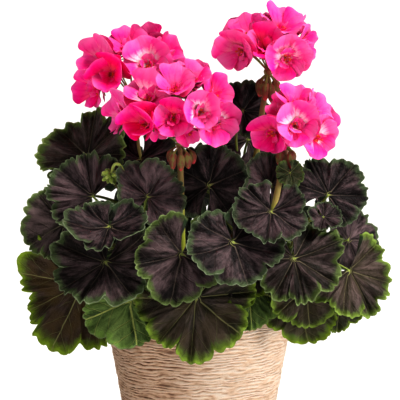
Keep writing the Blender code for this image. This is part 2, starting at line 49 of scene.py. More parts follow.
view = {
    "aim": (1.0, 0.0, 262.0),  # this point shows in the middle of the picture
    "distance": 1900.0,
    "elevation": 7.0,
    "lens": 171.0,
    "sensor": 36.0,
    "nearest": 0.05,  # metres
    "farthest": 50.0,
}
studio = {
    "exposure": 0.05,
    "gamma": 0.76,  # under 1 it deepens the shadows
    "skyHorizon": 0.9,
    "skyAbove": 0.12,
    "skySide": 0.55,  # share of its light that the wall gains on the right and loses on the left
    "skyFade": (0.02, 0.14),  # sines of the heights between which the bright wall fades out
    "floorSize": 45.0,  # metres
    "floorColour": (0.86, 0.86, 0.86),
    "floorPatch": (0.84, 0.84, 0.84),
    "lampAim": (0.0, 0.0, 230.0),
    # kind, place, power, size (degrees for the sun, metres for the others) and colour
    "lamps": {
        "main_light": ("SUN", (1600.0, -840.0, 3500.0), 4.4, 20.0, (1.0, 0.97, 0.93)),
        "side_light": ("AREA", (1500.0, -750.0, 430.0), 15.0, 0.9, (1.0, 0.98, 0.96)),
        "fill_light": ("AREA", (-1500.0, -900.0, 900.0), 8.0, 1.0, (1.0, 0.98, 0.96)),
    },
}


def addObject(name, data):
    made = bpy.data.objects.new(name, data)
    bpy.context.scene.collection.objects.link(made)
    return made


def setCamera():
    lens = bpy.data.cameras.new("camera")
    lens.lens, lens.sensor_width = view["lens"], view["sensor"]
    lens.clip_start, lens.clip_end = view["nearest"], view["farthest"]
    camera = addObject("camera", lens)
    tilt = math.radians(view["elevation"])
    away = Vector((0.0, -math.cos(tilt), math.sin(tilt))) * view["distance"]
    camera.location = (Vector(view["aim"]) + away) * mm
    camera.rotation_euler = (math.radians(90.0) - tilt, 0.0, 0.0)
    bpy.context.scene.camera = camera


def addLamp(name, kind, place, power, size, colour):
    lamp = bpy.data.lights.new(name, kind)
    lamp.energy, lamp.color = power, colour
    if kind == "SUN":
        lamp.angle = math.radians(size)
    else:
        lamp.shape, lamp.size = "DISK", size
    holder = addObject(name, lamp)
    holder.location = Vector(place) * mm
    aim = Vector(studio["lampAim"]) * mm - holder.location
    holder.rotation_euler = aim.to_track_quat("-Z", "Y").to_euler()


def maths(kind, flipped=False):
    # an operator of a wire, which adds one Math node
    def operate(wire, other=0.0):
        first, second = (other, wire) if flipped else (wire, other)
        return wire.finish.add("ShaderNodeMath", {"operation": kind}, {0: first, 1: second})

    return operate


class Wire:
    # one socket of a finish, so that sums on it read as plain sums
    def __init__(self, finish, socket):
        self.finish, self.socket = finish, socket

    __add__ = __radd__ = maths("ADD")
    __sub__, __rsub__ = maths("SUBTRACT"), maths("SUBTRACT", flipped=True)
    __mul__ = __rmul__ = maths("MULTIPLY")
    __abs__, __round__ = maths("ABSOLUTE"), maths("ROUND")
    most, sine = maths("MAXIMUM"), maths("SINE")


class Nodes:
    # a node tree with one method that adds any node
    def __init__(self, tree):
        self.tree = tree

    def add(self, kind, settings=None, values=None, out=0):
        node = self.tree.nodes.new(kind)
        for name, setting in (settings or {}).items():
            setattr(node, name, setting)
        for name, value in (values or {}).items():
            self.feed(node.inputs[name], value)
        return Wire(self, node.outputs[out])

    def feed(self, socket, value):
        if isinstance(value, Wire):
            self.tree.links.new(value.socket, socket)
        else:
            socket.default_value = value

    def place(self):
        return self.add("ShaderNodeTexCoord", out="Object")

    def mark(self, name, out="Vector"):
        return self.add("ShaderNodeAttribute", {"attribute_name": name}, out=out)

    def split(self, vector):
        parts = self.add("ShaderNodeSeparateXYZ", None, {0: vector}).socket.node
        return [Wire(self, socket) for socket in parts.outputs]

    def clouds(self, where, scale, detail=3.0, roughness=0.55):
        values = {"Vector": where, "Scale": scale, "Detail": detail, "Roughness": roughness}
        return self.add("ShaderNodeTexNoise", None, values)

    def ramp(self, value, low, high):
        # 0 at low, 1 at high, smooth between and level beyond. Low may be the larger one.
        settings = {"interpolation_type": "SMOOTHSTEP", "clamp": True}
        flip = high < low
        values = {"Value": value, "From Min": min(low, high), "From Max": max(low, high)}
        values["To Min"], values["To Max"] = (1.0, 0.0) if flip else (0.0, 1.0)
        return self.add("ShaderNodeMapRange", settings, values)


class Finish(Nodes):
    # a material: fixed values sit on the shader's own sockets, and colours are named in its look
    def __init__(self, name, look, **fixed):
        self.look = look
        self.material = bpy.data.materials.new(name)
        self.material.use_nodes = True
        super().__init__(self.material.node_tree)
        self.surface = self.tree.nodes["Principled BSDF"]
        for socket, value in fixed.items():
            self.surface.inputs[socket.replace("_", " ")].default_value = value

    def grain(self, broadScale, fineScale, broadDetail=3.0, fineDetail=3.0):
        # where a point is on the piece, with a broad and a fine cloud there
        where = self.place()
        broad = self.clouds(where, broadScale, broadDetail)
        return where, broad, self.clouds(where, fineScale, fineDetail)

    def span(self):
        # where a point lies on its own blade, petal or rod
        return self.split(self.mark("span"))

    def mix(self, share, first, second, how="MIX"):
        colours = [c if isinstance(c, Wire) else (*self.look[c], 1.0) for c in (first, second)]
        settings = {"data_type": "RGBA", "blend_type": how, "clamp_factor": True}
        return self.add("ShaderNodeMix", settings, {0: share, 6: colours[0], 7: colours[1]}, 2)

    def layers(self, colour, *coats):
        # a coat is the mask that it shows through and its colour
        for share, coat in coats:
            colour = self.mix(share, colour, coat)
        return colour

    def dress(self, colour, roughness, height=None, strength=0.5, distance=0.0003):
        self.feed(self.surface.inputs["Base Color"], colour)
        self.feed(self.surface.inputs["Roughness"], roughness)
        if height is not None:
            values = {"Height": height, "Strength": strength, "Distance": distance}
            self.feed(self.surface.inputs["Normal"], self.add("ShaderNodeBump", None, values))
        return self.material


leafLook = {
    # the two colours below are the dark zone in painted shade and with painted highlight, mixed over its
    # folds
    "dark": (0.004, 0.0018, 0.002),
    "litPlum": (0.170, 0.115, 0.122),
    "warm": (0.070, 0.042, 0.012),
    "green": (0.058, 0.085, 0.042),
    "goldGreen": (0.155, 0.220, 0.010),
    # the colour below is a fully green leaf's colour in painted shade, in its valleys and creases
    "shadedGreen": (0.024, 0.050, 0.012),
    "greenLeaf": (0.215, 0.350, 0.075),
    # the colour below is painted highlight where the downy rim catches light
    "litDownRim": (0.205, 0.240, 0.165),
    "goldEdge": (0.220, 0.330, 0.015),
    "vein": (0.175, 0.130, 0.110),
    "brightVein": (0.480, 0.520, 0.150),
    # the two colours below are kept darker than the underside's own grey-green, as painted shade between
    # the leaves
    "under": (0.042, 0.074, 0.032),
    "underZone": (0.036, 0.030, 0.026),
    "underVein": (0.180, 0.220, 0.090),
    "edgeStart": 0.83,
    "edgeEnd": 0.99,
    "veinHalf": 0.22,  # mm, at the middle of the blade
    "branchHalf": 0.10,
    "branches": 4.2,  # side veins on each half of a lobe
    "bladeSize": 44.0,  # mm from the middle to the edge, for the width of the veins
    "cells": 380.0,  # the quilting between the finest veins
}


def veinPattern(finish, lobe, share, chance, drift, bold):
    # masks of the main veins and the side veins, and the distance in mm from a main vein
    look = leafLook
    lobe = lobe + drift * 0.10
    turn = abs(lobe - round(lobe))
    aside = turn * share
    away = aside * look["bladeSize"]
    width = look["veinHalf"] * (1.6 - share) * (1.0 + bold)
    main = finish.ramp(away - width, 0.35, -0.05)
    steps = (share - aside * 1.25) * look["branches"] + chance * 3.0 + drift * 0.5
    line = abs(steps - round(steps)) * (look["bladeSize"] * 0.75 / look["branches"])
    branch = finish.ramp(line, look["branchHalf"] + 0.35, look["branchHalf"] - 0.10)
    return main, branch * finish.ramp(share, 0.22, 0.40) * finish.ramp(turn, 0.46, 0.36), away


def leafUpper():
    # a near black zone painted lighter on its folds and darker in its vein valleys, creases and middle,
    # as painted light and shade; a dark green margin; a pale rim that is painted highlight where its
    # down catches light; and faint veins
    sheen = {"Sheen_Weight": 0.02, "Sheen_Roughness": 0.4, "Sheen_Tint": (0.80, 0.68, 0.78, 1.0)}
    finish = Finish("leaf_upper", leafLook, Specular_IOR_Level=0.16, **sheen)
    where, broad, fine = finish.grain(38.0, 260.0, fineDetail=4.0)
    drift, fuzz = broad - 0.5, fine - 0.5
    lobe, share, _ = finish.span()
    green, gold, warm = finish.split(finish.mark("tint"))
    chance = finish.mark("tint", "Alpha")
    main, branch, away = veinPattern(finish, lobe, share, chance, drift, green)
    fan = {"X": lobe * 7.0, "Y": share * 2.2, "Z": chance * 30.0}
    crease = finish.clouds(finish.add("ShaderNodeCombineXYZ", None, fan), 1.0, 3.0, 0.6) - 0.5
    sinus = abs(lobe - round(lobe))
    rim = share + drift * 0.22 + sinus * 0.05 + fuzz * 0.20 + gold * 0.04 + crease * 0.32
    zone = finish.ramp(rim, leafLook["edgeEnd"], leafLook["edgeStart"])
    zone = zone * (1.0 - green * (1.0 - 0.3 * broad))
    # painted light and shade of the folds: lighter between the veins, darker in the vein valleys, the
    # creases and toward the middle; it shades the green leaves too
    ridge = broad * 0.6 + 0.15 + sinus * 0.6 + crease * 1.05 + fuzz * 0.35
    ridge = ridge + (chance - 0.5) * 0.25 - finish.ramp(share, 0.45, 0.05) * 0.18
    dark = finish.mix(finish.ramp(ridge, 0.32, 1.04), "dark", "litPlum")
    dark = finish.mix(warm * finish.ramp(broad, 0.20, 0.65), dark, "warm")
    # painted highlight where the downy rim catches light
    rimHighlightMask = finish.ramp(share + fuzz * 0.06 + gold * 0.05, 0.97, 1.01)
    fresh = finish.layers(
        "green",
        (gold * finish.ramp(share, 0.70, 1.0), "goldGreen"),
        (green, finish.mix(finish.ramp(ridge, 0.20, 0.95), "shadedGreen", "greenLeaf")),
        (rimHighlightMask * finish.ramp(broad, 0.20, 0.60), finish.mix(gold, "litDownRim", "goldEdge")),
    )
    heart = finish.ramp(share + fuzz * 0.03, 0.07, 0.01)
    bright = (green * 0.9 + warm * 0.40 + heart).most(finish.ramp(share, 0.16, 0.02) * 0.7)
    strength = (0.34 + 0.45 * finish.ramp(share, 0.32, 0.02)).most((green + warm) * 0.8)
    veins = main.most(branch * (0.45 + green * 0.40)) * strength
    colour = finish.mix(zone * (1.0 - heart * 0.6), fresh, dark)
    colour = finish.mix(veins, colour, finish.mix(bright, "vein", "brightVein"))
    values = {"Vector": where, "Scale": leafLook["cells"]}
    cells = finish.add("ShaderNodeTexVoronoi", {"feature": "DISTANCE_TO_EDGE"}, values)
    pillow = finish.ramp(away, 0.1, 3.2) * 0.5 + finish.ramp(cells, 0.0, 0.30) * 0.22 - branch * 0.7
    return finish.dress(colour, 0.44 + 0.22 * fine, pillow + fine * 0.35 + crease * 1.3, 0.95, 0.0011)


def leafUnder():
    sheen = {"Sheen_Weight": 0.08, "Sheen_Roughness": 0.5}
    finish = Finish("leaf_underside", leafLook, Specular_IOR_Level=0.15, **sheen)
    _, broad, fine = finish.grain(45.0, 300.0, fineDetail=4.0)
    drift = broad - 0.5
    lobe, share, _ = finish.span()
    green, gold, _ = finish.split(finish.mark("tint"))
    main, branch, _ = veinPattern(finish, lobe, share, finish.mark("tint", "Alpha"), drift, green)
    zone = finish.ramp(share + drift * 0.2, 0.88, 0.70) * (1.0 - green * 0.7)
    # painted highlight where the downy rim catches light
    rimHighlightMask = finish.ramp(share + (fine - 0.5) * 0.06, 0.93, 1.0)
    colour = finish.layers(
        "under",
        (zone * 0.8, "underZone"),
        (rimHighlightMask * 0.8, finish.mix(gold, "litDownRim", "goldEdge")),
        (main.most(branch * 0.5) * 0.8, "underVein"),
    )
    return finish.dress(colour, 0.60 + 0.2 * fine, main * 1.2 + branch * 0.5 + fine * 0.3, 0.8, 0.0008)


stemLook = {
    "green": (0.100, 0.150, 0.035),
    "brown": (0.130, 0.075, 0.042),
    "leafStalk": (0.290, 0.370, 0.070),
    "leafStalkBrown": (0.180, 0.110, 0.055),
}


def stemSkin():
    # leaf stalks are yellow-green, and the old stems below them green and brown
    sheen = {"Sheen_Weight": 0.3, "Sheen_Roughness": 0.4}
    finish = Finish("stem_skin", stemLook, Specular_IOR_Level=0.35, **sheen)
    _, broad, fine = finish.grain(70.0, 900.0)
    onStalk, along, _ = finish.span()
    old = finish.mix(finish.ramp(broad, 0.40, 0.62), "green", "brown")
    brownish = finish.ramp(broad - along * 0.25, 0.30, 0.60) * 0.7
    colour = finish.mix(onStalk, old, finish.mix(brownish, "leafStalk", "leafStalkBrown"))
    return finish.dress(colour, 0.50 + 0.2 * fine, fine + broad * 1.5)


flowerStalkLook = {
    "low": (0.420, 0.470, 0.060),
    "middle": (0.400, 0.300, 0.110),
    "high": (0.330, 0.170, 0.100),
    "pedicel": (0.260, 0.110, 0.050),
    "pedicelGreen": (0.260, 0.290, 0.070),
}
downy = {"Sheen_Weight": 0.20, "Sheen_Roughness": 0.4, "Specular_IOR_Level": 0.3}


def flowerStalkSkin():
    finish = Finish("flower_stalk_skin", flowerStalkLook, **downy)
    _, broad, fine = finish.grain(60.0, 900.0)
    _, along, _ = finish.span()
    share = along + (broad - 0.5) * 0.4
    colour = finish.mix(finish.ramp(share, 0.10, 0.55), "low", "middle")
    colour = finish.mix(finish.ramp(share, 0.55, 0.95), colour, "high")
    return finish.dress(colour, 0.50 + 0.2 * fine, fine + broad)


def pedicelSkin():
    finish = Finish("pedicel_skin", flowerStalkLook, **downy)
    _, broad, fine = finish.grain(90.0, 1100.0)
    colour = finish.mix(finish.ramp(broad, 0.42, 0.62), "pedicel", "pedicelGreen")
    return finish.dress(colour, 0.50 + 0.2 * fine, fine, 0.5, 0.0002)


budLooks = {
    "bud_skin": {
        "skin": (0.230, 0.200, 0.060),
        "flush": (0.240, 0.070, 0.042),
        "tip": (0.900, 0.080, 0.110),
        "sheen": (0.10, 0.40),  # weight and roughness
        "patches": 160.0,
        "tipFrom": 0.52,  # of the bud's length
        "tipUneven": 0.35,
        "tipShare": 1.0,
        "grain": 0.4,
        "roughness": 0.48,
    },
    "young_bud_skin": {
        "skin": (0.170, 0.230, 0.040),
        "flush": (0.340, 0.430, 0.075),
        "tip": (0.560, 0.620, 0.190),
        "sheen": (0.50, 0.35),
        "patches": 130.0,
        "tipFrom": 0.55,
        "tipUneven": 0.0,
        "tipShare": 0.7,
        "grain": 0.6,
        "roughness": 0.50,
    },
}


def budSkin(name):
    # five sepals that meet in shallow seams, and a tip that shows as the bud opens
    look = budLooks[name]
    weight, rough = look["sheen"]
    finish = Finish(name, look, Sheen_Weight=weight, Sheen_Roughness=rough, Specular_IOR_Level=0.30)
    _, broad, fine = finish.grain(look["patches"], 1100.0)
    around, along, ripe = finish.span()
    seam = abs((around * (5.0 * math.pi)).sine())
    tip = finish.ramp(along + (broad + ripe - 1.5) * look["tipUneven"], look["tipFrom"], 0.95)
    colour = finish.mix(finish.ramp(broad + (seam - 0.5) * 0.2, 0.38, 0.62), "skin", "flush")
    colour = finish.mix(tip * look["tipShare"], colour, "tip")
    height = finish.ramp(seam, 0.0, 0.35) + fine * look["grain"]
    return finish.dress(colour, look["roughness"] + 0.2 * fine, height, 0.6, 0.0004)


petalLook = {
    "light": (0.880, 0.165, 0.440),
    "body": (0.970, 0.003, 0.330),
    "deep": (0.920, 0.001, 0.130),
    "eye": (0.980, 0.840, 0.890),
    "vein": (0.500, 0.001, 0.060),
    "veinLines": 17.0,
    "filament": (0.95, 0.50, 0.55),
    "filamentTip": (0.85, 0.06, 0.08),
    "anther": (0.50, 0.04, 0.02),
    "pollen": (0.85, 0.13, 0.04),
}


def petalSkin():
    # a white eye with streaked edges, deeper pink toward the throat that is partly the petal's own and
    # partly painted shade, a paler rim that is painted sheen highlight, and fine veins fanning to the
    # rim
    sheen = {"Sheen_Weight": 0.03, "Sheen_Roughness": 0.35, "Sheen_Tint": (1.0, 0.75, 0.90, 1.0)}
    glow = {"Subsurface_Weight": 0.10, "Subsurface_Radius": (0.005, 0.0012, 0.0025)}
    finish = Finish("petal", petalLook, Specular_IOR_Level=0.10, **sheen, **glow)
    _, broad, fine = finish.grain(90.0, 700.0, fineDetail=4.0)
    drift, fuzz = broad - 0.5, fine - 0.5
    across, along, _ = finish.span()
    eye, deep, chance = finish.split(finish.mark("tint"))
    lines = ((across + drift * 0.12 + chance) * petalLook["veinLines"]).sine()
    streak = finish.ramp(lines + fuzz * 1.2, 0.35, 0.95)
    # deeper toward the base: partly the petal's own pink, partly painted shade in the throat
    depth = 0.86 - along * 1.02 + deep * 0.75 + drift * 0.75 + (chance - 0.5) * 0.35
    eyeMask = finish.ramp(along + fuzz * 0.14 + streak * 0.06 + abs(across) * 0.14, 0.70, 0.38)
    colour = finish.layers(
        "light",
        (finish.ramp(depth, -0.20, 0.75), "body"),
        (finish.ramp(depth, 0.35, 1.25), "deep"),
        (streak * finish.ramp(along, 1.0, 0.25) * 0.16, "vein"),
        (eyeMask * eye, "eye"),
        # painted shade deepening the throat
        (finish.ramp(along + fuzz * 0.10 - streak * 0.05, 0.24, 0.10) * 0.7, "deep"),
        # painted highlight: a paler rim for the sheen at the petal's edge
        (finish.ramp(along + fuzz * 0.1, 0.86, 1.0) * 0.35, "light"),
    )
    height = streak * -0.6 + fine * 0.5 + broad * 1.2
    return finish.dress(colour, 0.42 + 0.22 * fine, height, 0.45, 0.0006)


def filamentSkin():
    finish = Finish("filament", petalLook, Specular_IOR_Level=0.4)
    _, along, _ = finish.span()
    fine = finish.clouds(finish.place(), 900.0)
    share = finish.ramp(along + (fine - 0.5) * 0.3, 0.1, 0.8)
    return finish.dress(finish.mix(share, "filament", "filamentTip"), 0.45 + 0.2 * fine)


def antherSkin():
    finish = Finish("anther", petalLook, Specular_IOR_Level=0.3)
    fine = finish.clouds(finish.place(), 1500.0)
    colour = finish.mix(finish.ramp(fine, 0.35, 0.65), "anther", "pollen")
    return finish.dress(colour, 0.7 + 0.2 * fine, fine, 0.8)


potLook = {
    "ridge": (0.740, 0.550, 0.410),
    "pale": (0.815, 0.700, 0.605),
    "valley": (0.470, 0.305, 0.210),
    "leftValleyShade": (0.090, 0.042, 0.022),  # painted shade in the valleys on the pot's left side
    "leftSideShade": (0.680, 0.510, 0.390),  # painted shade that darkens the pot's left side
    "inside": (0.330, 0.190, 0.120),
    "speck": (0.200, 0.110, 0.070),
    "blush": (0.95, 0.70, 0.55),
    "strandScale": (90.0, 90.0, 420.0),  # the torn strands of clay lie level
}


def stoneware():
    # sandy clay, darker in the combed valleys and paler on the ridge tops: partly the clay's own tone,
    # partly painted shade and painted highlight. Painted shade darkens the left side.
    finish = Finish("combed_stoneware", potLook, Specular_IOR_Level=0.25)
    where, broad, grit = finish.grain(22.0, 1400.0, 4.0, 2.0)
    drift = broad - 0.5
    _, relief, inside = finish.span()
    values = {"Vector": where, "Scale": potLook["strandScale"]}
    strand = finish.clouds(finish.add("ShaderNodeMapping", None, values), 1.6, 5.0, 0.65)
    height = relief + (strand - 0.5) * 0.75
    # painted shade of the side away from the main light: 1 on the pot's left, 0 on its right
    leftShade = finish.ramp(finish.split(where)[0] + drift * 0.04, 0.035, -0.060)
    # darker valleys and paler ridge tops: partly the clay's own tone, partly painted shade in the
    # grooves and painted highlight on the crests
    colour = finish.layers(
        "valley",
        (finish.ramp(height, 0.02, 0.62), "ridge"),
        (finish.ramp(height + drift * 0.4, 0.45, 1.00), "pale"),
        (leftShade * finish.ramp(height, 0.80, 0.10) * 0.85, "leftValleyShade"),
    )
    colour = finish.mix(leftShade * 0.62, colour, "leftSideShade", "MULTIPLY")
    colour = finish.mix(finish.ramp(grit, 0.66, 0.74) * 0.5, colour, "speck")
    colour = finish.mix(inside * 0.9, colour, "inside")
    colour = finish.mix(finish.ramp(broad, 0.30, 0.70) * 0.22, colour, "blush", "SOFT_LIGHT")
    return finish.dress(colour, 0.80 + 0.15 * grit, strand * 1.4 + grit * 0.45, 0.90, 0.0012)


soilLook = {"dark": (0.018, 0.011, 0.007), "brown": (0.075, 0.042, 0.022), "bark": (0.160, 0.085, 0.040)}


def soilCrumb():
    finish = Finish("potting_soil", soilLook, Specular_IOR_Level=0.2)
    _, broad, fine = finish.grain(120.0, 900.0, 5.0, 4.0)
    piece = finish.span()[2]
    colour = finish.mix(finish.ramp(broad + (fine - 0.5) * 0.5, 0.40, 0.68), "dark", "brown")
    colour = finish.mix(piece * finish.ramp(fine, 0.2, 0.8), colour, "bark")
    return finish.dress(colour, 0.85 + 0.12 * fine, fine + broad, 0.9, 0.0015)


def floorFinish():
    finish = Finish("pale_floor", studio, Specular_IOR_Level=0.1)
    soft = finish.clouds(finish.place(), 3.0)
    return finish.dress(finish.mix(soft * 0.25, "floorColour", "floorPatch"), 0.85 + 0.1 * soft)


def newShape():
    shape = bmesh.new()
    shape.verts.layers.float_vector.new("span")
    shape.verts.layers.float_color.new("tint")
    return shape


def spanOf(shape):
    return shape.verts.layers.float_vector["span"]


def paint(shape, spans, tint=(0.0, 0.0, 0.0, 0.0)):
    # where each point lies on its own petal, blade or rod, and the piece's own shade
    span, shade = spanOf(shape), shape.verts.layers.float_color["tint"]
    for vert, value in zip(shape.verts, spans):
        vert[span] = value
        vert[shade] = tint


def setSlot(faces, slot):
    for face in faces:
        face.material_index = slot


def sheet(columns, rows, place, thickness, tint=(0.0, 0.0, 0.0, 0.0)):
    # a grid that a formula bends into a blade or petal, thickened downwards
    shape = newShape()
    bmesh.ops.create_grid(shape, x_segments=columns, y_segments=rows, size=1.0)
    flat = np.array([vert.co[:2] for vert in shape.verts])
    points, spans = place(flat[:, 0], (flat[:, 1] + 1.0) / 2.0)
    for vert, point in zip(shape.verts, points):
        vert.co = point
    paint(shape, spans, tint)
    bmesh.ops.remove_doubles(shape, verts=shape.verts[:], dist=0.002)
    bmesh.ops.reverse_faces(shape, faces=shape.faces[:])  # so that the upper side faces up
    shape.normal_update()
    upper = set(shape.faces)
    bmesh.ops.solidify(shape, geom=shape.faces[:], thickness=thickness)
    setSlot([face for face in shape.faces if face not in upper], 1)
    return shape


def rod(path, radii, sides, start=None, end=None, slot=0, stalk=0.0):
    # a closed round rod: one disc, carried along its path by extruding its face
    points = [Vector(point) for point in path]
    ways = []
    for k, point in enumerate(points):
        way = points[min(k + 1, len(points) - 1)] - points[max(k - 1, 0)]
        ways.append(way.normalized())
    if start is not None:
        ways[0] = Vector(start).normalized()
    if end is not None:
        ways[-1] = Vector(end).normalized()
    shape = newShape()
    bmesh.ops.create_circle(shape, cap_ends=True, segments=sides, radius=1.0)
    span = spanOf(shape)
    for vert in shape.verts:
        turn = math.atan2(vert.co.y, vert.co.x) / (2.0 * math.pi) % 1.0
        vert[span] = (stalk if stalk else turn, 0.0, 0.0)
    across = ways[0].cross(Vector((0.31, 0.87, 0.11))).normalized()
    seat = Matrix.Identity(4)
    shape.faces.ensure_lookup_table()
    face = shape.faces[0]
    for k, (point, way, radius) in enumerate(zip(points, ways, radii)):
        across = (across - way * across.dot(way)).normalized()
        other = way.cross(across)
        turned = Matrix((across * radius, other * radius, way * radius)).transposed().to_4x4()
        turned.translation = point
        if k:
            grown = bmesh.ops.extrude_face_region(shape, geom=[face])["geom"]
            face = next(part for part in grown if isinstance(part, bmesh.types.BMFace))
        step = turned @ seat.inverted()
        bmesh.ops.transform(shape, matrix=step, verts=face.verts[:])
        for vert in face.verts:
            vert[span] = (vert[span][0], k / (len(points) - 1), vert[span][2])
        seat = turned
    bmesh.ops.recalc_face_normals(shape, faces=shape.faces[:])
    setSlot(shape.faces, slot)
    return shape


def lump(size, seat):
    # a small round body, drawn out to its size and set in its place
    shape = newShape()
    bmesh.ops.create_icosphere(shape, subdivisions=1, radius=1.0)
    bmesh.ops.scale(shape, vec=size, verts=shape.verts[:])
    bmesh.ops.transform(shape, matrix=seat, verts=shape.verts[:])
    return shape


def meshOf(name, shape):
    mesh = bpy.data.meshes.new(name)
    shape.to_mesh(mesh)
    shape.free()
    return mesh


def fuse(name, shapes, finishes, node):
    # one piece from many shapes, in metres, that stands for its solid
    whole = newShape()
    for shape in shapes:
        scrap = meshOf("scrap", shape)
        whole.from_mesh(scrap)
        bpy.data.meshes.remove(scrap)
    bmesh.ops.scale(whole, vec=(mm, mm, mm), verts=whole.verts[:])
    mesh = meshOf(name, whole)
    mesh.shade_smooth()
    mesh.set_sharp_from_angle(angle=math.radians(creaseAngle))
    for finish in finishes:
        mesh.materials.append(finish)
    piece = addObject(name, mesh)
    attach(piece, "root")
    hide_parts(node)


def facing(yaw, tilt, roll):
    # columns: the middle lobe's direction, the direction to its left, and the upper face
    yaw, tilt, roll = (math.radians(value) for value in (yaw, tilt, roll))
    normal = np.array((math.sin(yaw) * math.cos(tilt), -math.cos(yaw) * math.cos(tilt), math.sin(tilt)))
    down = np.array((math.sin(yaw) * math.sin(tilt), -math.cos(yaw) * math.sin(tilt), -math.cos(tilt)))
    side = np.array((math.cos(yaw), math.sin(yaw), 0.0))
    forward = math.cos(roll) * down + math.sin(roll) * side
    return np.column_stack((forward, np.cross(normal, forward), normal))


def bend(first, second, third, last, steps):
    # points along a smooth curve
    made = []
    for step in range(steps + 1):
        t = step / steps
        u = 1.0 - t
        made.append(u**3 * first + 3 * u * u * t * second + 3 * u * t * t * third + t**3 * last)
    return made


def eased(path, steps):
    # a smooth run through all the points of a path
    points = [np.array(point, float) for point in path]
    made = []
    for k in range(len(points) - 1):
        before = points[max(k - 1, 0)]
        a, b = points[k], points[k + 1]
        after = points[min(k + 2, len(points) - 1)]
        made += bend(a, a + (b - before) / 6.0, b - (after - a) / 6.0, b, steps)[:-1]
    return made + [points[-1]]


def drawnOut(values, count):
    # as many values as asked for, spread evenly between the given ones
    return np.interp(np.linspace(0.0, 1.0, count), np.linspace(0.0, 1.0, len(values)), values)


def smoothStep(value, low, high):
    share = np.clip((value - low) / (high - low), 0.0, 1.0)
    return share * share * (3.0 - 2.0 * share)


def unit(vector):
    return vector / np.linalg.norm(vector)


def clipped(share):
    return min(1.0, max(0.0, share))


def outward(turned, turn):
    # the direction that lies at a turn about the upper face's middle
    return turned[:, 0] * math.cos(turn) + turned[:, 1] * math.sin(turn)


# Every leafy stem, by its number: its foot on the soil (x, y), its bend, and its cut top (x, y, z).
stems = {
    1: ((-46, -38), (-52, -48, 185), (-58, -58, 218)),
    2: ((-44, 6), (-50, 10, 205), (-56, 8, 258)),
    3: ((-14, -44), (-15, -52, 180), (-16, -58, 214)),
    4: ((18, -46), (24, -56, 172), (30, -66, 200)),
    5: ((48, -34), (56, -46, 185), (64, -56, 220)),
    6: ((56, 6), (78, 0, 190), (92, -8, 220)),
    7: ((14, 4), (30, 10, 205), (48, 14, 258)),
    8: ((-18, 46), (-26, 62, 185), (-34, 74, 212)),
    9: ((30, 44), (42, 60, 185), (52, 70, 212)),
}

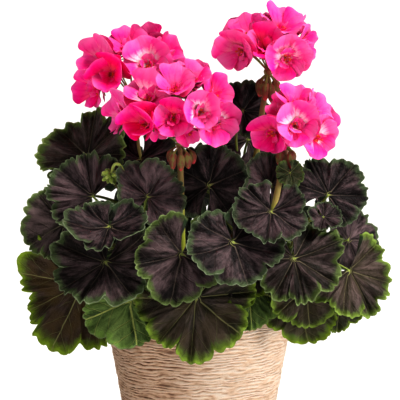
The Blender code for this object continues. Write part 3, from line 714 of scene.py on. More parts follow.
# Every leaf, as the solids have it: its stem, centre, radius, yaw and tilt of its upper face, roll
# of its middle lobe, cup, droop of the front lobes, opening of the notch.
leaves = [
    (2, (-110, -21, 308), 50, -25, 34, -125, 0.12, 0.0, 36),
    (2, (-87, 16, 301), 36, 20, 28, 150, 0.15, 0.0, 40),
    (7, (-58, -20, 305), 40, 0, 55, 0, 0.1, 0.1, 30),
    (3, (-49, -73, 274), 39, 25, 25, 150, 0.14, 0.0, 40),
    (2, (-102, -70, 274), 48, -10, 36, -128, 0.12, 0.0, 170),
    (1, (-131, -58, 246), 42, -13, 24, -65, 0.12, 0.05, 40),
    (1, (-85, -114, 251), 41, -10, 54, -4, 0.3, 0.0, 32),
    (1, (-88, -109, 216), 52, -8, 42, -12, 0.14, 0.04, 26),
    (1, (-113, -71, 189), 68, -20, 10, -20, 0.05, 0.05, 80),
    (3, (-66, -111, 179), 46, -5, 20, 5, 0.05, 0.05, 30),
    (1, (-92, -63, 174), 44, -12, 15, 0, 0.05, 0.05, 30),
    (4, (-3, -120, 184), 59, -5, 20, 3, 0.06, 0.06, 40),
    (3, (-16, -124, 226), 47, 6, 30, -12, 0.05, 0.16, 28),
    (4, (32, -134, 239), 47, 10, 38, 6, 0.08, 0.06, 26),
    (5, (68, -121, 266), 38, 0, 46, -12, 0.1, 0.08, 40),
    (5, (90, -111, 220), 50, 10, 43, 8, 0.08, 0.08, 30),
    (6, (126, -50, 273), 40, 16, 20, 140, 0.1, 0.0, 80),
    (6, (146, -46, 228), 38, 36, 22, 80, 0.1, 0.05, 50),
    (6, (144, -82, 204), 50, 30, 18, 26, 0.05, 0.1, 130),
    (6, (137, -61, 170), 30, 20, 8, 0, 0.05, 0.05, 40),
    (5, (102, -94, 190), 41, 16, 16, 10, 0.05, 0.1, 30),
    (5, (97, -80, 176), 44, 15, 8, 4, 0.05, 0.05, 34),
    (4, (34, -103, 208), 38, 4, 31, 6, 0.05, 0.12, 30),
    (4, (48, -98, 188), 40, 11, 16, 4, 0.06, 0.05, 40),
    (5, (119, -84, 256), 19, 20, 46, 34, 0.2, 0.0, 30),
    (7, (88, -62, 296), 15, 0, 20, 6, 0.1, 0.1, 40),
    (7, (70, -53, 282), 36, 33, 24, 150, 0.16, 0.0, 30),
    (3, (10, -38, 281), 44, -24, 13, 176, 0.08, 0.0, 30),
    (7, (44, 17, 350), 30, 15, 16, 147, 0.16, 0.0, 30),
    (7, (50, 40, 319), 40, 7, 25, 155, 0.1, 0.05, 30),
    (3, (-38, -82, 245), 19, 3, 50, 24, 0.16, 0.0, 30),
    (1, (-131, -23, 232), 38, -60, 30, -40, 0.1, 0.06, 30),
    (2, (-110, 40, 262), 46, -95, 46, -14, 0.1, 0.12, 26),
    (2, (-129, -12, 204), 44, -90, 22, -12, 0.06, 0.1, 30),
    (8, (-104, 74, 224), 46, -128, 44, 0, 0.1, 0.12, 26),
    (8, (-120, 62, 182), 44, -118, 16, 0, 0.06, 0.1, 30),
    (8, (-57, 131, 235), 48, -147, 56, 8, 0.1, 0.12, 26),
    (8, (-67, 107, 184), 44, -150, 12, 5, 0.06, 0.1, 30),
    (8, (-6, 89, 257), 44, 176, 58, 3, 0.1, 0.12, 26),
    (8, (-9, 129, 201), 48, 180, 30, 12, 0.06, 0.12, 30),
    (9, (51, 113, 239), 44, 162, 41, 0, 0.1, 0.12, 26),
    (9, (53, 97, 197), 46, 156, 16, 0, 0.06, 0.1, 30),
    (9, (100, 75, 226), 46, 129, 42, 0, 0.1, 0.12, 26),
    (9, (115, 96, 172), 44, 120, 23, 0, 0.06, 0.1, 30),
    (6, (129, 24, 246), 44, 95, 43, 2, 0.1, 0.12, 26),
    (6, (140, 22, 192), 44, 88, 18, 0, 0.06, 0.1, 30),
    (2, (-64, 80, 284), 42, -153, 63, 17, 0.1, 0.12, 26),
    (7, (88, 73, 286), 42, 93, 73, 22, 0.1, 0.12, 26),
    (9, (15, 64, 283), 42, 170, 77, -5, 0.1, 0.12, 26),
    (7, (-16, 13, 302), 40, -124, 81, 3, 0.1, 0.1, 26),
]

# Leaves that stand out from the dark ones, by their place in the list above: how green the
# whole blade is, how yellow its edge, how warm a brown its zone.
leafShades = {
    0: (0.00, 0.45, 0.25), 4: (0.00, 0.10, 0.00), 5: (0.05, 0.30, 0.15), 8: (0.00, 0.95, 1.00),
    9: (0.90, 0.35, 0.10), 10: (0.10, 1.00, 0.80), 11: (0.15, 0.80, 0.60), 12: (0.00, 0.35, 0.05),
    15: (0.05, 0.35, 0.10), 18: (0.10, 0.65, 0.30), 19: (0.30, 0.90, 0.40), 20: (0.15, 0.75, 0.50),
    21: (0.25, 0.95, 0.50), 22: (0.10, 0.95, 0.40), 23: (0.90, 0.55, 0.10), 25: (0.55, 0.30, 0.00),
    30: (0.55, 0.10, 0.00), 31: (0.10, 0.40, 0.60),
}
blade = {
    "thickness": 0.5,
    "largeLeaf": 48.0,
    "wideNotch": 100.0,
    "lobeNotch": 0.13,
    "pleat": 0.050,  # the main veins lie in the valleys
    "lobeSpread": 0.045,  # how unevenly the lobes share the turn
    "lobeUneven": 0.05,  # and how much their lengths differ
    "overlap": 0.31,  # how far a lobe slides over or under the next one: 0.16 only just meets it
    "overlapLift": 0.062,
    "evenColumns": 0.08,  # draws the grid's columns together at the veins, where they lie widest
    "ruffle": 0.065,
    "teeth": {7: 5, 5: 6},  # teeth on a lobe, by the number of lobes
    "toothDepth": 0.068,
    "lobeColumns": 36,
    "rows": 12,
    "rimWave": 0.062,
    "notchClose": 9.0,  # degrees that the lobes beside the stalk's notch spread at their rim
}
stalk = {
    "radii": (2.0, 1.75, 1.55, 1.2),
    "sides": 8,
    "steps": 12,
    "lowestLeaf": 170.0,
    "highestLeaf": 280.0,
    "lowestShare": 0.25,
    "highestShare": 0.85,
}
stemSize = {
    "footZ": 110.0,
    "soilZ": 155.0,
    "radii": (5.3, 5.3, 4.8, 4.2),
    "swelling": 0.45,
    "sides": 14,
    "steps": 8,
}


def lobesOf(radius, opening):
    # small leaves and those with a wide notch have fewer lobes
    return 7 if radius >= blade["largeLeaf"] and opening < blade["wideNotch"] else 5


def bladePoints(across, share, leaf, phase):
    # points of the blade's upper surface in its own frame, and where they lie on it
    radius, cup, droop, opening = leaf
    lobes = lobesOf(radius, opening)
    share = 1.0 - (1.0 - share) ** 1.3
    even = across * lobes / 2.0
    even = even - blade["evenColumns"] * np.sin(2.0 * math.pi * even)
    vein = np.round(even)  # whole numbers lie on the main veins, and halves between two lobes
    pair = np.floor(even)
    fold = blade["overlap"] * (0.72 + 0.28 * np.sin(2.3 * pair + 3.0 * phase))
    fold = fold * smoothStep(share, 0.15, 0.75)
    lobe = even + fold * np.sin(2.0 * math.pi * even)  # turns back on itself, so lobes overlap
    layer = np.tanh(2.2 * np.cos(math.pi * even)) * np.where(math.sin(phase) > 0.0, 1.0, -1.0)
    aside = np.minimum(2.0 * np.abs(lobe - vein), 1.0)
    turn = lobe * 2.0 / lobes
    turn = turn + blade["lobeSpread"] * np.sin(2.5 * math.pi * turn + 1.7 * phase) * (1.0 - turn**2)
    half = math.pi - math.radians(opening) / 2.0
    angle = turn * (half + math.radians(blade["notchClose"]) * share**2 * np.abs(turn) ** 6)
    reach = 1.0 - 0.15 * np.abs(across) ** 2.2
    reach *= 1.0 - blade["lobeNotch"] * (2.0 * np.abs(lobe - vein)) ** 4  # rounds each lobe's corners
    reach *= 1.0 + blade["lobeUneven"] * share * np.sin(2.7 * lobe + 2.0 * phase)
    tooth = np.abs(np.sin(math.pi * blade["teeth"][lobes] * (lobe + 0.5))) ** 0.7
    depth = blade["toothDepth"] * (0.8 + 0.35 * np.sin(7.0 * angle + 3.0 * phase))
    out = share * reach * (1.02 - depth * (1.0 - tooth) * smoothStep(share, 0.75, 1.0))
    lift = cup * out**2 - droop * out**2 * np.cos(angle)
    lift += blade["pleat"] * out * (2.0 * aside**0.8 - 1.0) * (1.0 + 0.5 * np.sin(2.0 * angle + phase))
    lift += blade["overlapLift"] * layer * smoothStep(share, 0.10, 0.80)
    lift += blade["ruffle"] * out**3 * (
        np.sin(3.0 * angle + phase) + 0.6 * np.sin(5.0 * angle + 2.3 * phase)
    )
    lift += blade["rimWave"] * smoothStep(share, 0.40, 1.0) * (
        0.8 * np.sin(4.4 * math.pi * lobe + 2.2 * np.sin(3.0 * angle + phase))
        + 0.4 * np.sin(8.2 * math.pi * lobe + 5.0 * phase)
    )
    flat = out * (1.0 - 0.25 * (cup**2 + droop**2) * out**2)
    points = radius * np.column_stack((flat * np.cos(angle), flat * np.sin(angle), lift))
    spans = np.column_stack((np.clip(lobe, vein - 0.5, vein + 0.5), share, np.zeros_like(share)))
    return points, spans


def leafBlade(leaf, index, tint):
    centre, radius, yaw, tilt, roll, cup, droop, opening = leaf
    turned = facing(yaw, tilt, roll)

    def place(across, share):
        points, spans = bladePoints(across, share, (radius, cup, droop, opening), 0.9 * index)
        return points @ turned.T + np.array(centre, float), spans

    columns = lobesOf(radius, opening) * blade["lobeColumns"]
    return sheet(columns, blade["rows"], place, blade["thickness"], tint)


def stemPoints(number):
    foot, bent, top = stems[number]
    low = np.array((foot[0], foot[1], stemSize["footZ"]), float)
    soil = np.array((foot[0], foot[1], stemSize["soilZ"]), float)
    return [low, soil, np.array(bent, float), np.array(top, float)]


def stemEnd(number):
    path = stemPoints(number)
    return path[-1], unit(path[-1] - path[-2])


def pointOnStem(number, share):
    soil, bent, top = stemPoints(number)[1:]
    if share < 0.5:
        return soil + (bent - soil) * share * 2.0
    return bent + (top - bent) * (share - 0.5) * 2.0


def leafStalk(number, leaf):
    centre, radius, yaw, tilt, roll = leaf[:5]
    height = (centre[2] - stalk["lowestLeaf"]) / (stalk["highestLeaf"] - stalk["lowestLeaf"])
    share = stalk["lowestShare"] + (stalk["highestShare"] - stalk["lowestShare"]) * clipped(height)
    turned = facing(yaw, tilt, roll)
    forward, normal = turned[:, 0], turned[:, 2]
    root = pointOnStem(number, share)
    tip = np.array(centre, float) + normal * 0.1
    reach = np.linalg.norm(tip - root)
    level = tip - root
    level[2] = 0.0
    level /= max(np.linalg.norm(level), 1.0)
    leave = root + (level * 0.25 + np.array((0, 0, 0.30))) * reach
    arrive = tip - (normal * 0.26 + forward * 0.22) * reach
    path = bend(root, leave, arrive, tip, stalk["steps"])
    thin = min(1.0, 0.6 + radius / 110.0)
    radii = drawnOut(stalk["radii"], stalk["steps"] + 1) * thin
    radii[-1] *= 0.8
    return rod(path, radii, stalk["sides"], end=normal, slot=2, stalk=1.0)


def stemRod(number):
    # a thick stem with swollen rings where old leaves grew
    path = eased(stemPoints(number), stemSize["steps"])
    steps = np.linspace(0.0, 1.0, len(path))
    radii = drawnOut(stemSize["radii"], len(path))
    radii += stemSize["swelling"] * np.cos(steps * 34.0) ** 8
    end = stemEnd(number)[1]
    return rod(path, radii, stemSize["sides"], start=up, end=end, slot=2, stalk=0.001)


def buildLeafyStem(number, finishes):
    name = f"leafy_stem_{number}"
    chance = random.Random(name)
    shapes = [stemRod(number)]
    for index, (stem, *leaf) in enumerate(leaves):
        if stem != number:
            continue
        low = max(0.0, (225.0 - leaf[0][2]) / 60.0)
        usual = (0.15 * low * chance.random(), 0.6 * low + 0.12 * chance.random(), 0.35 * low)
        shade = leafShades.get(index, usual)
        shapes.append(leafStalk(number, leaf))
        shapes.append(leafBlade(leaf, index, (*shade, chance.random())))
    fuse("leaves_of_" + name, shapes, finishes, name)


# Every flower head, as the solids have it: its stem, its stalk's path up to the knob, its
# flowers (calyx top, petal length, yaw, tilt, roll, cup) and its buds (yaw, reach, drop, length).
# Its eyes and deep shades go by a flower's place in the list, where the half open ones come last.
heads = {
    "1": {
        "stem": 2,
        "path": [(-60, 10, 300), (-65, 14, 340), (-66, 15, 362)],
        "flowers": [
            ((-85, -25, 389), 29, -10, 4, 72, 0.8), ((-91, -8, 400), 26, -44, 18, -18, 0.5),
            ((-96, -9, 375), 25, -46, -12, 42, 0.5), ((-50, -22, 396), 28, 2, 20, -20, 0.35),
            ((-70, 4, 408), 25, -4, 50, -28, 0.45), ((-40, 11, 398), 27, 55, 26, -10, 0.4),
            ((-84, 22, 400), 24, -125, 64, 30, 0.4), ((-50, 16, 405), 27, 180, 50, 15, 0.4),
            ((-48, 16, 378), 26, 110, -15, -44, 0.45),
        ],
        "buds": [(10, 8, 14, 13), (130, 9, 16, 14), (-110, 9, 15, 12)],
        "eyes": {3: 1.0, 1: 0.25, 2: 0.15},
        "deep": {0: 0.8, 2: 0.55},
    },
    "2": {
        "stem": 3,
        "path": [(-17, -56, 260), (-18, -46, 300), (-18, -42, 322)],
        "flowers": [
            ((-48, -80, 344), 28, -20, 8, 0, 0.85), ((-24, -80, 350), 27, 0, 6, 18, 0.55),
            ((0, -86, 356), 26, 12, 10, 20, 0.55), ((12, -60, 345), 27, 28, -10, -6, 0.35),
            ((-48, -61, 363), 27, -8, 42, 20, 0.35), ((-23, -71, 373), 25, 2, 50, 20, 0.5),
            ((-8, -49, 379), 24, 8, 62, -12, 0.4), ((12, -45, 365), 23, 38, 30, -16, 0.4),
            ((-66, -61, 350), 26, -70, 8, 8, 0.4), ((-44, -26, 353), 25, -150, 40, 36, 0.4),
            ((-12, -34, 369), 30, 186, 44, -26, 0.4),
        ],
        "buds": [
            (-30, 14, 20, 16), (2, 13, 22, 16), (32, 13, 19, 15),
            (70, 12, 14, 13), (-70, 10, 12, 12), (160, 9, 14, 12),
        ],
        "halfOpen": [
            ((-11, -64, 340), 18, 6, -26, 10, 0.75), ((-34, -66, 344), 18, -10, -22, -12, 0.8),
            ((14, -50, 342), 17, 20, -30, 20, 0.7),
        ],
        "eyes": {2: 1.0, 3: 1.0, 4: 0.7, 8: 0.3, 11: 0.6},
        "deep": {0: 1.0, 1: 0.45},
    },
    "3": {
        "stem": 7,
        "path": [(58, 8, 310), (63, 5, 350), (69, 5, 390)],
        "flowers": [
            ((43, -20, 412), 26, -26, -2, 8, 0.5), ((84, -33, 406), 26, 10, -4, 42, 0.25),
            ((64, -14, 412), 27, 4, 26, 16, 0.65), ((79, 0, 427), 28, 24, 56, 20, 0.4),
            ((94, -5, 414), 25, 56, 4, -38, 0.4), ((53, 12, 421), 26, -38, 50, -78, 0.4),
            ((85, 20, 420), 27, 180, 62, 0, 0.4), ((50, 19, 412), 31, -166, 25, -82, 0.4),
        ],
        "buds": [
            (-50, 9, 22, 16), (-15, 10, 26, 18), (15, 10, 30, 19), (50, 9, 24, 17),
            (110, 8, 20, 15), (-110, 8, 18, 15), (180, 9, 22, 16),
        ],
        "eyes": {1: 0.8, 0: 0.3},
        "deep": {2: 0.4},
    },
    "4": {
        "stem": 5,
        "path": [(72, -72, 262), (81, -50, 300), (85, -42, 322)],
        "flowers": [
            ((73, -66, 336), 25, -26, -8, 40, 0.5), ((91, -79, 342), 28, 8, 12, 54, 0.5),
            ((110, -59, 331), 25, 32, -4, 46, 0.35), ((92, -58, 357), 23, 8, 60, 24, 0.4),
            ((107, -43, 349), 23, 56, 28, 46, 0.4), ((84, -50, 349), 19, -38, 44, -46, 0.5),
            ((100, -27, 356), 23, 160, 78, -48, 0.4), ((107, -33, 337), 28, 150, 15, 80, 0.4),
        ],
        "buds": [(-40, 9, 14, 14), (20, 11, 18, 15), (140, 9, 16, 14)],
        "halfOpen": [((86, -60, 334), 17, -4, -22, 8, 0.8)],
        "eyes": {1: 0.9, 2: 1.0},
        "deep": {0: 0.4},
    },
}
floret = {
    "thickness": 0.32,
    "halfWidth": 0.63,  # of a petal's length
    "upperWider": 0.12,  # how much wider and longer the petals that point up are
    "swing": 9.0,
    "rimWave": 0.014,
    "twist": 17.0,
    "plainEye": 0.12,  # how bright the eye of a flower is that has none in its head's list
    "plainDeep": 0.15,
    "outerPetals": 5,
    "innerPetals": 4,
    "innerLengths": (0.42, 0.68),
    "petaloids": 3,
    "petaloidLengths": (0.26, 0.40),
    # outer petals, inner petals and petaloids: their start above the calyx and from the
    # flower's middle, columns, rows and crumple
    "rings": ((0.0, 0.65, 12, 9, 0.10), (0.6, 0.78, 8, 7, 0.196), (0.9, 1.30, 4, 5, 0.196)),
    "stamens": 7,
    "stamenLength": 8.5,
    "anther": 1.15,
}
pedicel = {
    "stalkRadius": 3.3,
    "stalkTaper": 0.88,
    "knobRadius": 5.0,
    "knobHeight": 8.0,
    # height and width along the knob, in shares of half its height and of its radius
    "knob": ((-1.0, 0.62), (-0.6, 0.82), (-0.2, 0.98), (0.2, 0.95), (0.6, 0.75), (1.0, 0.35)),
    "radii": (0.95, 0.85, 0.8, 0.8, 0.85, 0.9, 1.05, 1.35, 1.9, 2.3),
    "calyxRadius": 2.3,
    "calyxLength": 7.0,
    "budRadius": 4.6,
    "budShares": (0.0, 0.10, 0.25, 0.45, 0.65, 0.82, 0.94, 1.0),  # along a bud
    "budWidths": (0.45, 0.75, 0.98, 1.0, 0.85, 0.62, 0.36, 0.12),
    "sepals": 5,
    "sepalLength": 9.5,
}


def petalProfile(share, cup):
    # how far out and how far up a petal has come at a share of its length
    first = math.radians(35.0 + 45.0 * cup)
    last = math.radians(-5.0 + 60.0 * cup)
    now = first + (last - first) * share
    out = (np.sin(now) - math.sin(first)) / (last - first)
    lift = (math.cos(first) - np.cos(now)) / (last - first)
    return out, lift


def spun(away, side, rise, turn):
    # points this far out, to the left and up, turned about the flower's middle
    x = away * math.cos(turn) - side * math.sin(turn)
    y = away * math.sin(turn) + side * math.cos(turn)
    return np.column_stack((x, y, rise))


def petalSheet(turned, base, turn, length, width, cup, tint, chance, ring):
    above, start, columns, rows, crumple = floret["rings"][ring]
    twist = math.radians(floret["twist"])
    wave, wag, curl = chance.uniform(0.0, 6.3), chance.uniform(0.0, 6.3), chance.uniform(0.06, 0.42)

    def place(across, along):
        wide = 0.14 + 0.86 * smoothStep(along, 0.0, 0.62)
        wide *= 1.0 - 0.24 * np.clip(2.0 * along - 1.0, 0.0, 1.0) ** 2
        share = along * (1.0 - 0.20 * np.abs(across) ** 2.3 * along)
        share *= 1.01 + 0.020 * np.sin(3.2 * across + wag) * along
        out, lift = petalProfile(share, cup)
        side = across * wide * width * length
        rise = lift * length + curl * side**2 / (width * length)
        rise += crumple * length * along**2 * np.sin(2.6 * across + wave) * 0.5
        rise += crumple * length * along**3 * np.sin(5.5 * across + wag) * 0.5
        rise += floret["rimWave"] * length * along**5 * np.sin(9.0 * across + 2.0 * wave)
        rise = rise + side * math.sin(twist) + above
        points = spun(start + length * out, side * math.cos(twist), rise, turn)
        return points @ turned.T + base, np.column_stack((across, along, np.zeros_like(along)))

    return sheet(columns, rows, place, floret["thickness"], tint)


def stamenCluster(turned, base, chance):
    shapes = []
    normal = turned[:, 2]
    for k in range(floret["stamens"]):
        turn = goldenTurn * k + chance.uniform(-0.3, 0.3)
        lean = chance.uniform(0.15, 0.55)
        side = outward(turned, turn)
        way = normal * (1.0 - 0.4 * lean) + side * lean
        length = floret["stamenLength"] * chance.uniform(0.75, 1.2)
        foot = base + side * 0.7
        tip = foot + way * length
        middle = foot + way * length * 0.5 - side * 0.5
        shapes.append(rod([foot, middle, tip], (0.35, 0.28, 0.22), 4, slot=2))
        spin = Vector(side).to_track_quat("Z", "Y").to_matrix().to_4x4()
        size = Vector((0.8, 0.8, 1.3)) * floret["anther"]
        shapes.append(lump(size, Matrix.Translation(tip) @ spin))
        setSlot(shapes[-1].faces, 3)
    return shapes


def flowerShapes(flower, seed, eye, deep):
    calyx, petal, yaw, tilt, roll, cup = flower
    turned = facing(yaw, tilt, roll)
    base = np.array(calyx, float) + turned[:, 2] * (gap + 0.4)
    chance = random.Random(seed)
    shapes = []

    def grow(ring, turn, length, width, opened, tint):
        shapes.append(petalSheet(turned, base, turn, length, width, opened, tint, chance, ring))

    for k in range(floret["outerPetals"]):
        turn = 360 / floret["outerPetals"] * k + chance.uniform(-1.0, 1.0) * floret["swing"]
        turn = math.radians(turn)
        longer, opened = chance.uniform(0.93, 1.06), chance.uniform(0.80, 1.20)
        way = outward(turned, turn)
        bright = eye * max(0.05, clipped(0.35 + 1.2 * way[2]))
        tint = (bright, deep * chance.uniform(0.7, 1.0), chance.random(), 0.0)
        grown = 1.0 + floret["upperWider"] * way[2]
        grow(0, turn, petal * longer * grown, floret["halfWidth"] * grown, cup * opened, tint)
    for k in range(floret["innerPetals"]):
        turn = math.radians(360 / floret["innerPetals"] * k + 36 + chance.uniform(-35, 35))
        length = petal * chance.uniform(*floret["innerLengths"])
        tint = (eye, 0.10 + deep * 0.5, chance.random(), 0.0)
        opened = min(1.10, cup + chance.uniform(-0.05, 0.50))
        grow(1, turn, length, chance.uniform(0.30, 0.52), opened, tint)
    for k in range(floret["petaloids"]):
        turn = math.radians(360 / floret["petaloids"] * k + chance.uniform(-50, 50))
        length = petal * chance.uniform(*floret["petaloidLengths"])
        tint = (0.5 * eye, 0.3 + deep * 0.4, chance.random(), 0.0)
        grow(2, turn, length, chance.uniform(0.25, 0.45), chance.uniform(0.8, 1.3), tint)
    return shapes + stamenCluster(turned, base, chance)


def sepalShapes(calyx, turned, chance):
    # five pointed sepals that spread from the top of a calyx and fold back a little
    shapes = []
    for k in range(pedicel["sepals"]):
        turn = math.radians(360 / pedicel["sepals"] * k + 36 + chance.uniform(-8, 8))
        length = pedicel["sepalLength"] * chance.uniform(0.85, 1.1)

        def place(across, along):
            side = across * 1.5 * np.sin(math.pi * (0.12 + 0.86 * along)) ** 0.8
            away = pedicel["calyxRadius"] * 0.5 + length * 0.85 * along
            drop = -3.2 + 2.2 * np.sin(along * 2.2) - 1.6 * along**2 + 0.25 * across**2
            points = spun(away, side, drop, turn) @ turned.T + np.array(calyx, float)
            return points, np.column_stack((across * 0.1, along * 0.6, np.zeros_like(along)))

        shapes.append(sheet(2, 5, place, 0.35))
        setSlot(shapes[-1].faces, 2)
    return shapes


def budShape(root, neck, away, length, thick, ripe):
    # a stalk that swells into a closed bud with a blunt tip
    along = unit(away)
    path = [neck + along * length * share for share in pedicel["budShares"]]
    radii = [thick * width for width in pedicel["budWidths"]]
    bud = rod(path, radii, 10, start=along, end=along, slot=2)
    span = spanOf(bud)
    for vert in bud.verts:
        vert[span] = (vert[span][0], vert[span][1], ripe)
    rise = root + (neck - root) * 0.4 + np.array(up)
    run = bend(root, rise, neck - along * 2.0, neck + along * 0.6, 5)
    return [rod(run, [0.9, 0.85, 0.85, 0.9, 1.1, thick * 0.5], 6, slot=1), bud]


def stalkPath(made):
    # from the cut top of its stem to its knob, and the direction that it starts in
    top, along = stemEnd(made["stem"])
    return [top + along * gap] + [np.array(point, float) for point in made["path"]], along


def allFlowers(made):
    return made["flowers"] + made.get("halfOpen", [])


def buildFlowerStalk(head, finishes):
    made = heads[head]
    chance = random.Random(int(head) + 40)
    path, along = stalkPath(made)
    knob = path[-1]
    rise = unit(knob - path[-2])
    run = eased(path, 8)
    radii = pedicel["stalkRadius"] * np.linspace(1.0, pedicel["stalkTaper"], len(run))
    shapes = [rod(run, radii, 12, start=along, end=rise)]
    swelling = [knob + rise * pedicel["knobHeight"] / 2.0 * share for share, _ in pedicel["knob"]]
    widths = [pedicel["knobRadius"] * width for _, width in pedicel["knob"]]
    shapes.append(rod(swelling, widths, 12, start=rise, end=rise, slot=1))
    for calyx, _, yaw, tilt, roll, _ in allFlowers(made):
        turned = facing(yaw, tilt, roll)
        axis = turned[:, 2]
        calyx = np.array(calyx, float)
        under = calyx - axis * pedicel["calyxLength"]
        bow = knob + (under - knob) * 0.45 + np.array((0, 0, 1.5))
        run = bend(knob, bow, under - axis, under, 6)
        run += [under + axis * pedicel["calyxLength"] * share for share in (0.35, 0.7, 1.0)]
        shapes.append(rod(run, pedicel["radii"], 7, end=axis, slot=1))
        shapes += sepalShapes(calyx, turned, chance)
    for yaw, reach, drop, length in made["buds"]:
        turn = math.radians(yaw)
        out = np.array((math.sin(turn), -math.cos(turn), 0.0))
        start = knob - rise * 1.5
        neck = start + out * reach * 0.9 - np.array((0.0, 0.0, 0.35 * drop))
        ripe = chance.uniform(0.4, 1.1)
        shapes += budShape(start, neck, out * 0.22 - np.array(up), length, pedicel["budRadius"], ripe)
    fuse("stalk_and_buds_" + head, shapes, finishes, "flower_stalk_" + head)


def buildFlowers(head, finishes):
    made = heads[head]
    shapes = []
    for k, flower in enumerate(allFlowers(made)):
        eye = made["eyes"].get(k, floret["plainEye"])
        deep = made["deep"].get(k, floret["plainDeep"])
        shapes += flowerShapes(flower, 10 * int(head) + k, eye, deep)
    fuse("pink_flowers_" + head, shapes, finishes, "flowers_" + head)


young = {
    "stem": 1,
    "path": [
        (-64, -66, 245), (-69, -70, 270), (-70, -72, 286),
        (-75, -72, 303), (-81, -72, 305), (-84, -72, 296),
    ],
    "radii": (3.5, 2.4, 1.9, 1.8, 1.7, 1.6, 1.6),
    "tip": (-0.2, 0.0, -1.0),
    "buds": 15,
    "budRadius": 2.7,
    "budLengths": (7.0, 8.5),
    "ripe": 0.5,
}


def buildYoungBuds(finishes):
    path, along = stalkPath(young)
    run = eased(path, 4)
    radii = drawnOut(young["radii"], len(run))
    shapes = [rod(run, radii, 10, start=along, end=young["tip"])]
    knob = path[-1]
    chance = random.Random(5)
    for k in range(young["buds"]):
        turn = goldenTurn * k
        fall = -0.95 + 1.3 * k / (young["buds"] - 1)
        flat = math.sqrt(1.0 - fall * fall)
        away = np.array((math.cos(turn) * flat, math.sin(turn) * flat, fall))
        length = chance.uniform(*young["budLengths"])
        shapes += budShape(knob, knob + away * 3.0, away, length, young["budRadius"], young["ripe"])
    for shape in shapes:
        setSlot(shape.faces, 0)
    fuse("young_green_buds", shapes, finishes, "young_buds")


pot = {
    "height": 160.0,
    "topRadius": 96.5,
    "footRadius": 67.5,
    "wall": 7.0,
    "lipRound": 1.6,
    "rings": 230,
    "turnSteps": 240,
    "combPitch": 3.1,
    "combDepth": 1.9,
}
soil = {
    "edge": 145.0,
    "crown": 149.0,
    "crownRadius": 40.0,
    "clearance": 0.5,
    "rings": 45,
    "turnSteps": 150,
    "crumbs": 260,
}


def innerRadius(z):
    return pot["footRadius"] + (pot["topRadius"] - pot["footRadius"]) * z / pot["height"] - pot["wall"]


def potRadius(z):
    # the straight side, drawn in at the foot and at the shoulder of the lip
    radius = innerRadius(z) + pot["wall"] - 3.0 * max(0.0, 1.0 - z / 5.0) ** 2
    return radius - 2.5 * max(0.0, (z - pot["height"] + 6.0) / 6.0) ** 2


def turnedShape(profile, steps):
    # a profile spun about the Z axis into a closed body
    shape = newShape()
    corners = [shape.verts.new((radius, 0.0, z)) for radius, z in profile]
    edges = [shape.edges.new(pair) for pair in zip(corners, corners[1:])]
    bmesh.ops.spin(
        shape, geom=corners + edges, axis=up, cent=(0.0, 0.0, 0.0), dvec=(0.0, 0.0, 0.0),
        angle=2.0 * math.pi, steps=steps, use_merge=True,
    )
    bmesh.ops.remove_doubles(shape, verts=shape.verts[:], dist=0.001)
    bmesh.ops.recalc_face_normals(shape, faces=shape.faces[:])
    return shape


def ripple(place, level, height):
    # smooth noise whose lumps are this wide and this high, from about -1 to 1
    return noise.noise(Vector((place.x / level, place.y / level, place.z / height)))


def combRelief(place):
    # wavy, broken ridges that a comb left in the wet clay: 0 in a valley and 1 on a ridge
    wander = 3.0 * ripple(place, 34.0, 11.0) + 1.3 * ripple(place, 9.0, 4.5)
    comb = abs(math.sin(math.pi * (place.z + wander) / pot["combPitch"])) ** 0.5
    strand = Vector((place.x / 15.0, place.y / 15.0, (place.z + 1.5 * wander) / 2.1))
    torn = clipped(0.5 + 1.1 * noise.noise(strand))
    slow = Vector((place.x / 34.0, place.y / 34.0, place.z / 11.0))
    share = clipped(0.70 + 0.8 * noise.noise(slow * 1.9 + Vector((7.0, 3.0, 1.0))))
    return comb * share + torn * (1.0 - share) + 0.20 * ripple(place, 3.2, 1.8)


def buildPot(finish):
    top, lip, floor = pot["height"], pot["lipRound"], pot["wall"]
    profile = [(0.0, 0.0), (potRadius(0.0) - 1.0, 0.0)]
    profile += [(potRadius(z), z) for z in np.linspace(0.8, top - 2.4, pot["rings"] + 1)]
    for turn in range(1, 6):
        angle = math.radians(18.0 * turn)
        radius = potRadius(top) - lip + lip * math.cos(angle)
        profile.append((radius, top - lip + lip * math.sin(angle)))
    inside = innerRadius(top)
    profile += [(inside + 2.0, top), (inside + 0.6, top - 1.2), (inside, top - 4.0)]
    profile += [(innerRadius(z), z) for z in (140.0, 100.0, 50.0, floor + 3.0)]
    profile += [(innerRadius(floor) - 3.0, floor), (0.0, floor)]
    shape = turnedShape(profile, pot["turnSteps"])
    span = spanOf(shape)
    for vert in shape.verts:
        z = vert.co.z
        radius = math.hypot(vert.co.x, vert.co.y)
        outer = radius > innerRadius(z) + pot["wall"] - 3.6 and 1.5 < z < top - 2.0
        relief = combRelief(vert.co) if outer else 0.7 + 0.25 * noise.noise(vert.co / 3.0)
        vert[span] = (0.0, relief, 0.0 if radius > innerRadius(z) + 1.0 else 1.0)
        if outer:
            fade = min(1.0, (z - 1.0) / 3.0, (top - 1.5 - z) / 3.0)
            grown = 1.0 + (relief - 0.75) * pot["combDepth"] * fade / radius
            vert.co.x *= grown
            vert.co.y *= grown
    fuse("combed_pot", [shape], [finish], "pot")


def soilTop(radius, edge):
    # the soil rises a little from the pot's wall to its crown
    crown = min(1.0, (edge - radius) / (edge - soil["crownRadius"]))
    return soil["edge"] + (soil["crown"] - soil["edge"]) * crown


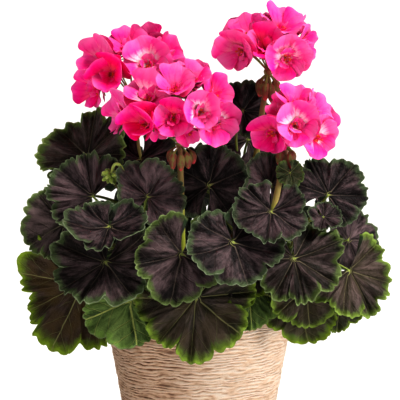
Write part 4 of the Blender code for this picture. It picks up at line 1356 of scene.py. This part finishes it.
def crumbShape(edge, chance):
    size = Vector([chance.uniform(1.0, 3.4), chance.uniform(1.0, 2.4), chance.uniform(0.5, 1.3)])
    radius, turn = edge * 0.95 * math.sqrt(chance.random()), chance.uniform(0.0, 2.0 * math.pi)
    spin = Matrix.Rotation(chance.uniform(0.0, 6.3), 4, "Z")
    spin = spin @ Matrix.Rotation(chance.uniform(-0.5, 0.5), 4, "X")
    seat = Vector((radius * math.cos(turn), radius * math.sin(turn), soilTop(radius, edge) - 0.3))
    crumb = lump(size, Matrix.Translation(seat) @ spin)
    paint(crumb, [(0.0, 0.0, chance.choice((0.2, 0.6, 1.0)))] * len(crumb.verts))
    return crumb


def buildSoil(finish):
    low = pot["wall"] + gap
    edge = innerRadius(soil["edge"]) - soil["clearance"]
    profile = [(0.0, low), (innerRadius(low) - soil["clearance"], low)]
    profile += [(edge - 1.0, soil["edge"] - 4.0), (edge, soil["edge"])]
    for step in range(1, soil["rings"] + 1):
        radius = edge * (1.0 - step / soil["rings"])
        profile.append((radius, soilTop(radius, edge)))
    shape = turnedShape(profile, soil["turnSteps"])
    for vert in shape.verts:
        if vert.co.z > soil["edge"] - 0.5:
            rough = noise.noise(vert.co / 6.0) * 1.4 + noise.noise(vert.co / 2.2) * 0.9
            vert.co.z += min(0.8, rough) - 0.6
    chance = random.Random(3)
    crumbs = [crumbShape(edge, chance) for _ in range(soil["crumbs"])]
    fuse("crumbly_soil", [shape] + crumbs, [finish], "soil")


def buildFloor():
    shape = bmesh.new()
    bmesh.ops.create_grid(shape, x_segments=4, y_segments=4, size=studio["floorSize"])
    mesh = meshOf("floor", shape)
    mesh.materials.append(floorFinish())
    floor = addObject("floor", mesh)


def setStudio():
    # a low bright wall all round, a dimmer sky, one soft main light and two large lamps at the sides
    scene = bpy.context.scene
    scene.view_settings.view_transform = "Standard"
    scene.view_settings.exposure = studio["exposure"]
    scene.view_settings.gamma = studio["gamma"]
    scene.world = bpy.data.worlds.new("studio")
    scene.world.use_nodes = True
    sky = Nodes(scene.world.node_tree)
    side, _, height = sky.split(sky.add("ShaderNodeTexCoord", out="Generated"))
    values = {"Value": height, "From Min": studio["skyFade"][0], "From Max": studio["skyFade"][1]}
    values["To Min"], values["To Max"] = studio["skyHorizon"], studio["skyAbove"]
    bright = sky.add("ShaderNodeMapRange", {"interpolation_type": "SMOOTHSTEP"}, values)
    bright = bright * (1.0 + side * studio["skySide"])
    sky.feed(sky.tree.nodes["Background"].inputs["Strength"], bright)
    sky.tree.nodes["Background"].inputs["Color"].default_value = (1.0, 1.0, 1.0, 1.0)
    for name, lamp in studio["lamps"].items():
        addLamp(name, *lamp)


setCamera()
setStudio()
buildFloor()
print("camera, lights and floor")

buildPot(stoneware())
buildSoil(soilCrumb())
print("pot and soil")

foliage = [leafUpper(), leafUnder(), stemSkin()]
for number in stems:
    buildLeafyStem(number, foliage)
print("leafy stems")

stalkFinishes = [flowerStalkSkin(), pedicelSkin(), budSkin("bud_skin")]
petal = petalSkin()
petalFinishes = [petal, petal, filamentSkin(), antherSkin()]
for head in heads:
    buildFlowerStalk(head, stalkFinishes)
    buildFlowers(head, petalFinishes)
buildYoungBuds([budSkin("young_bud_skin")])
print("flower heads and young buds")
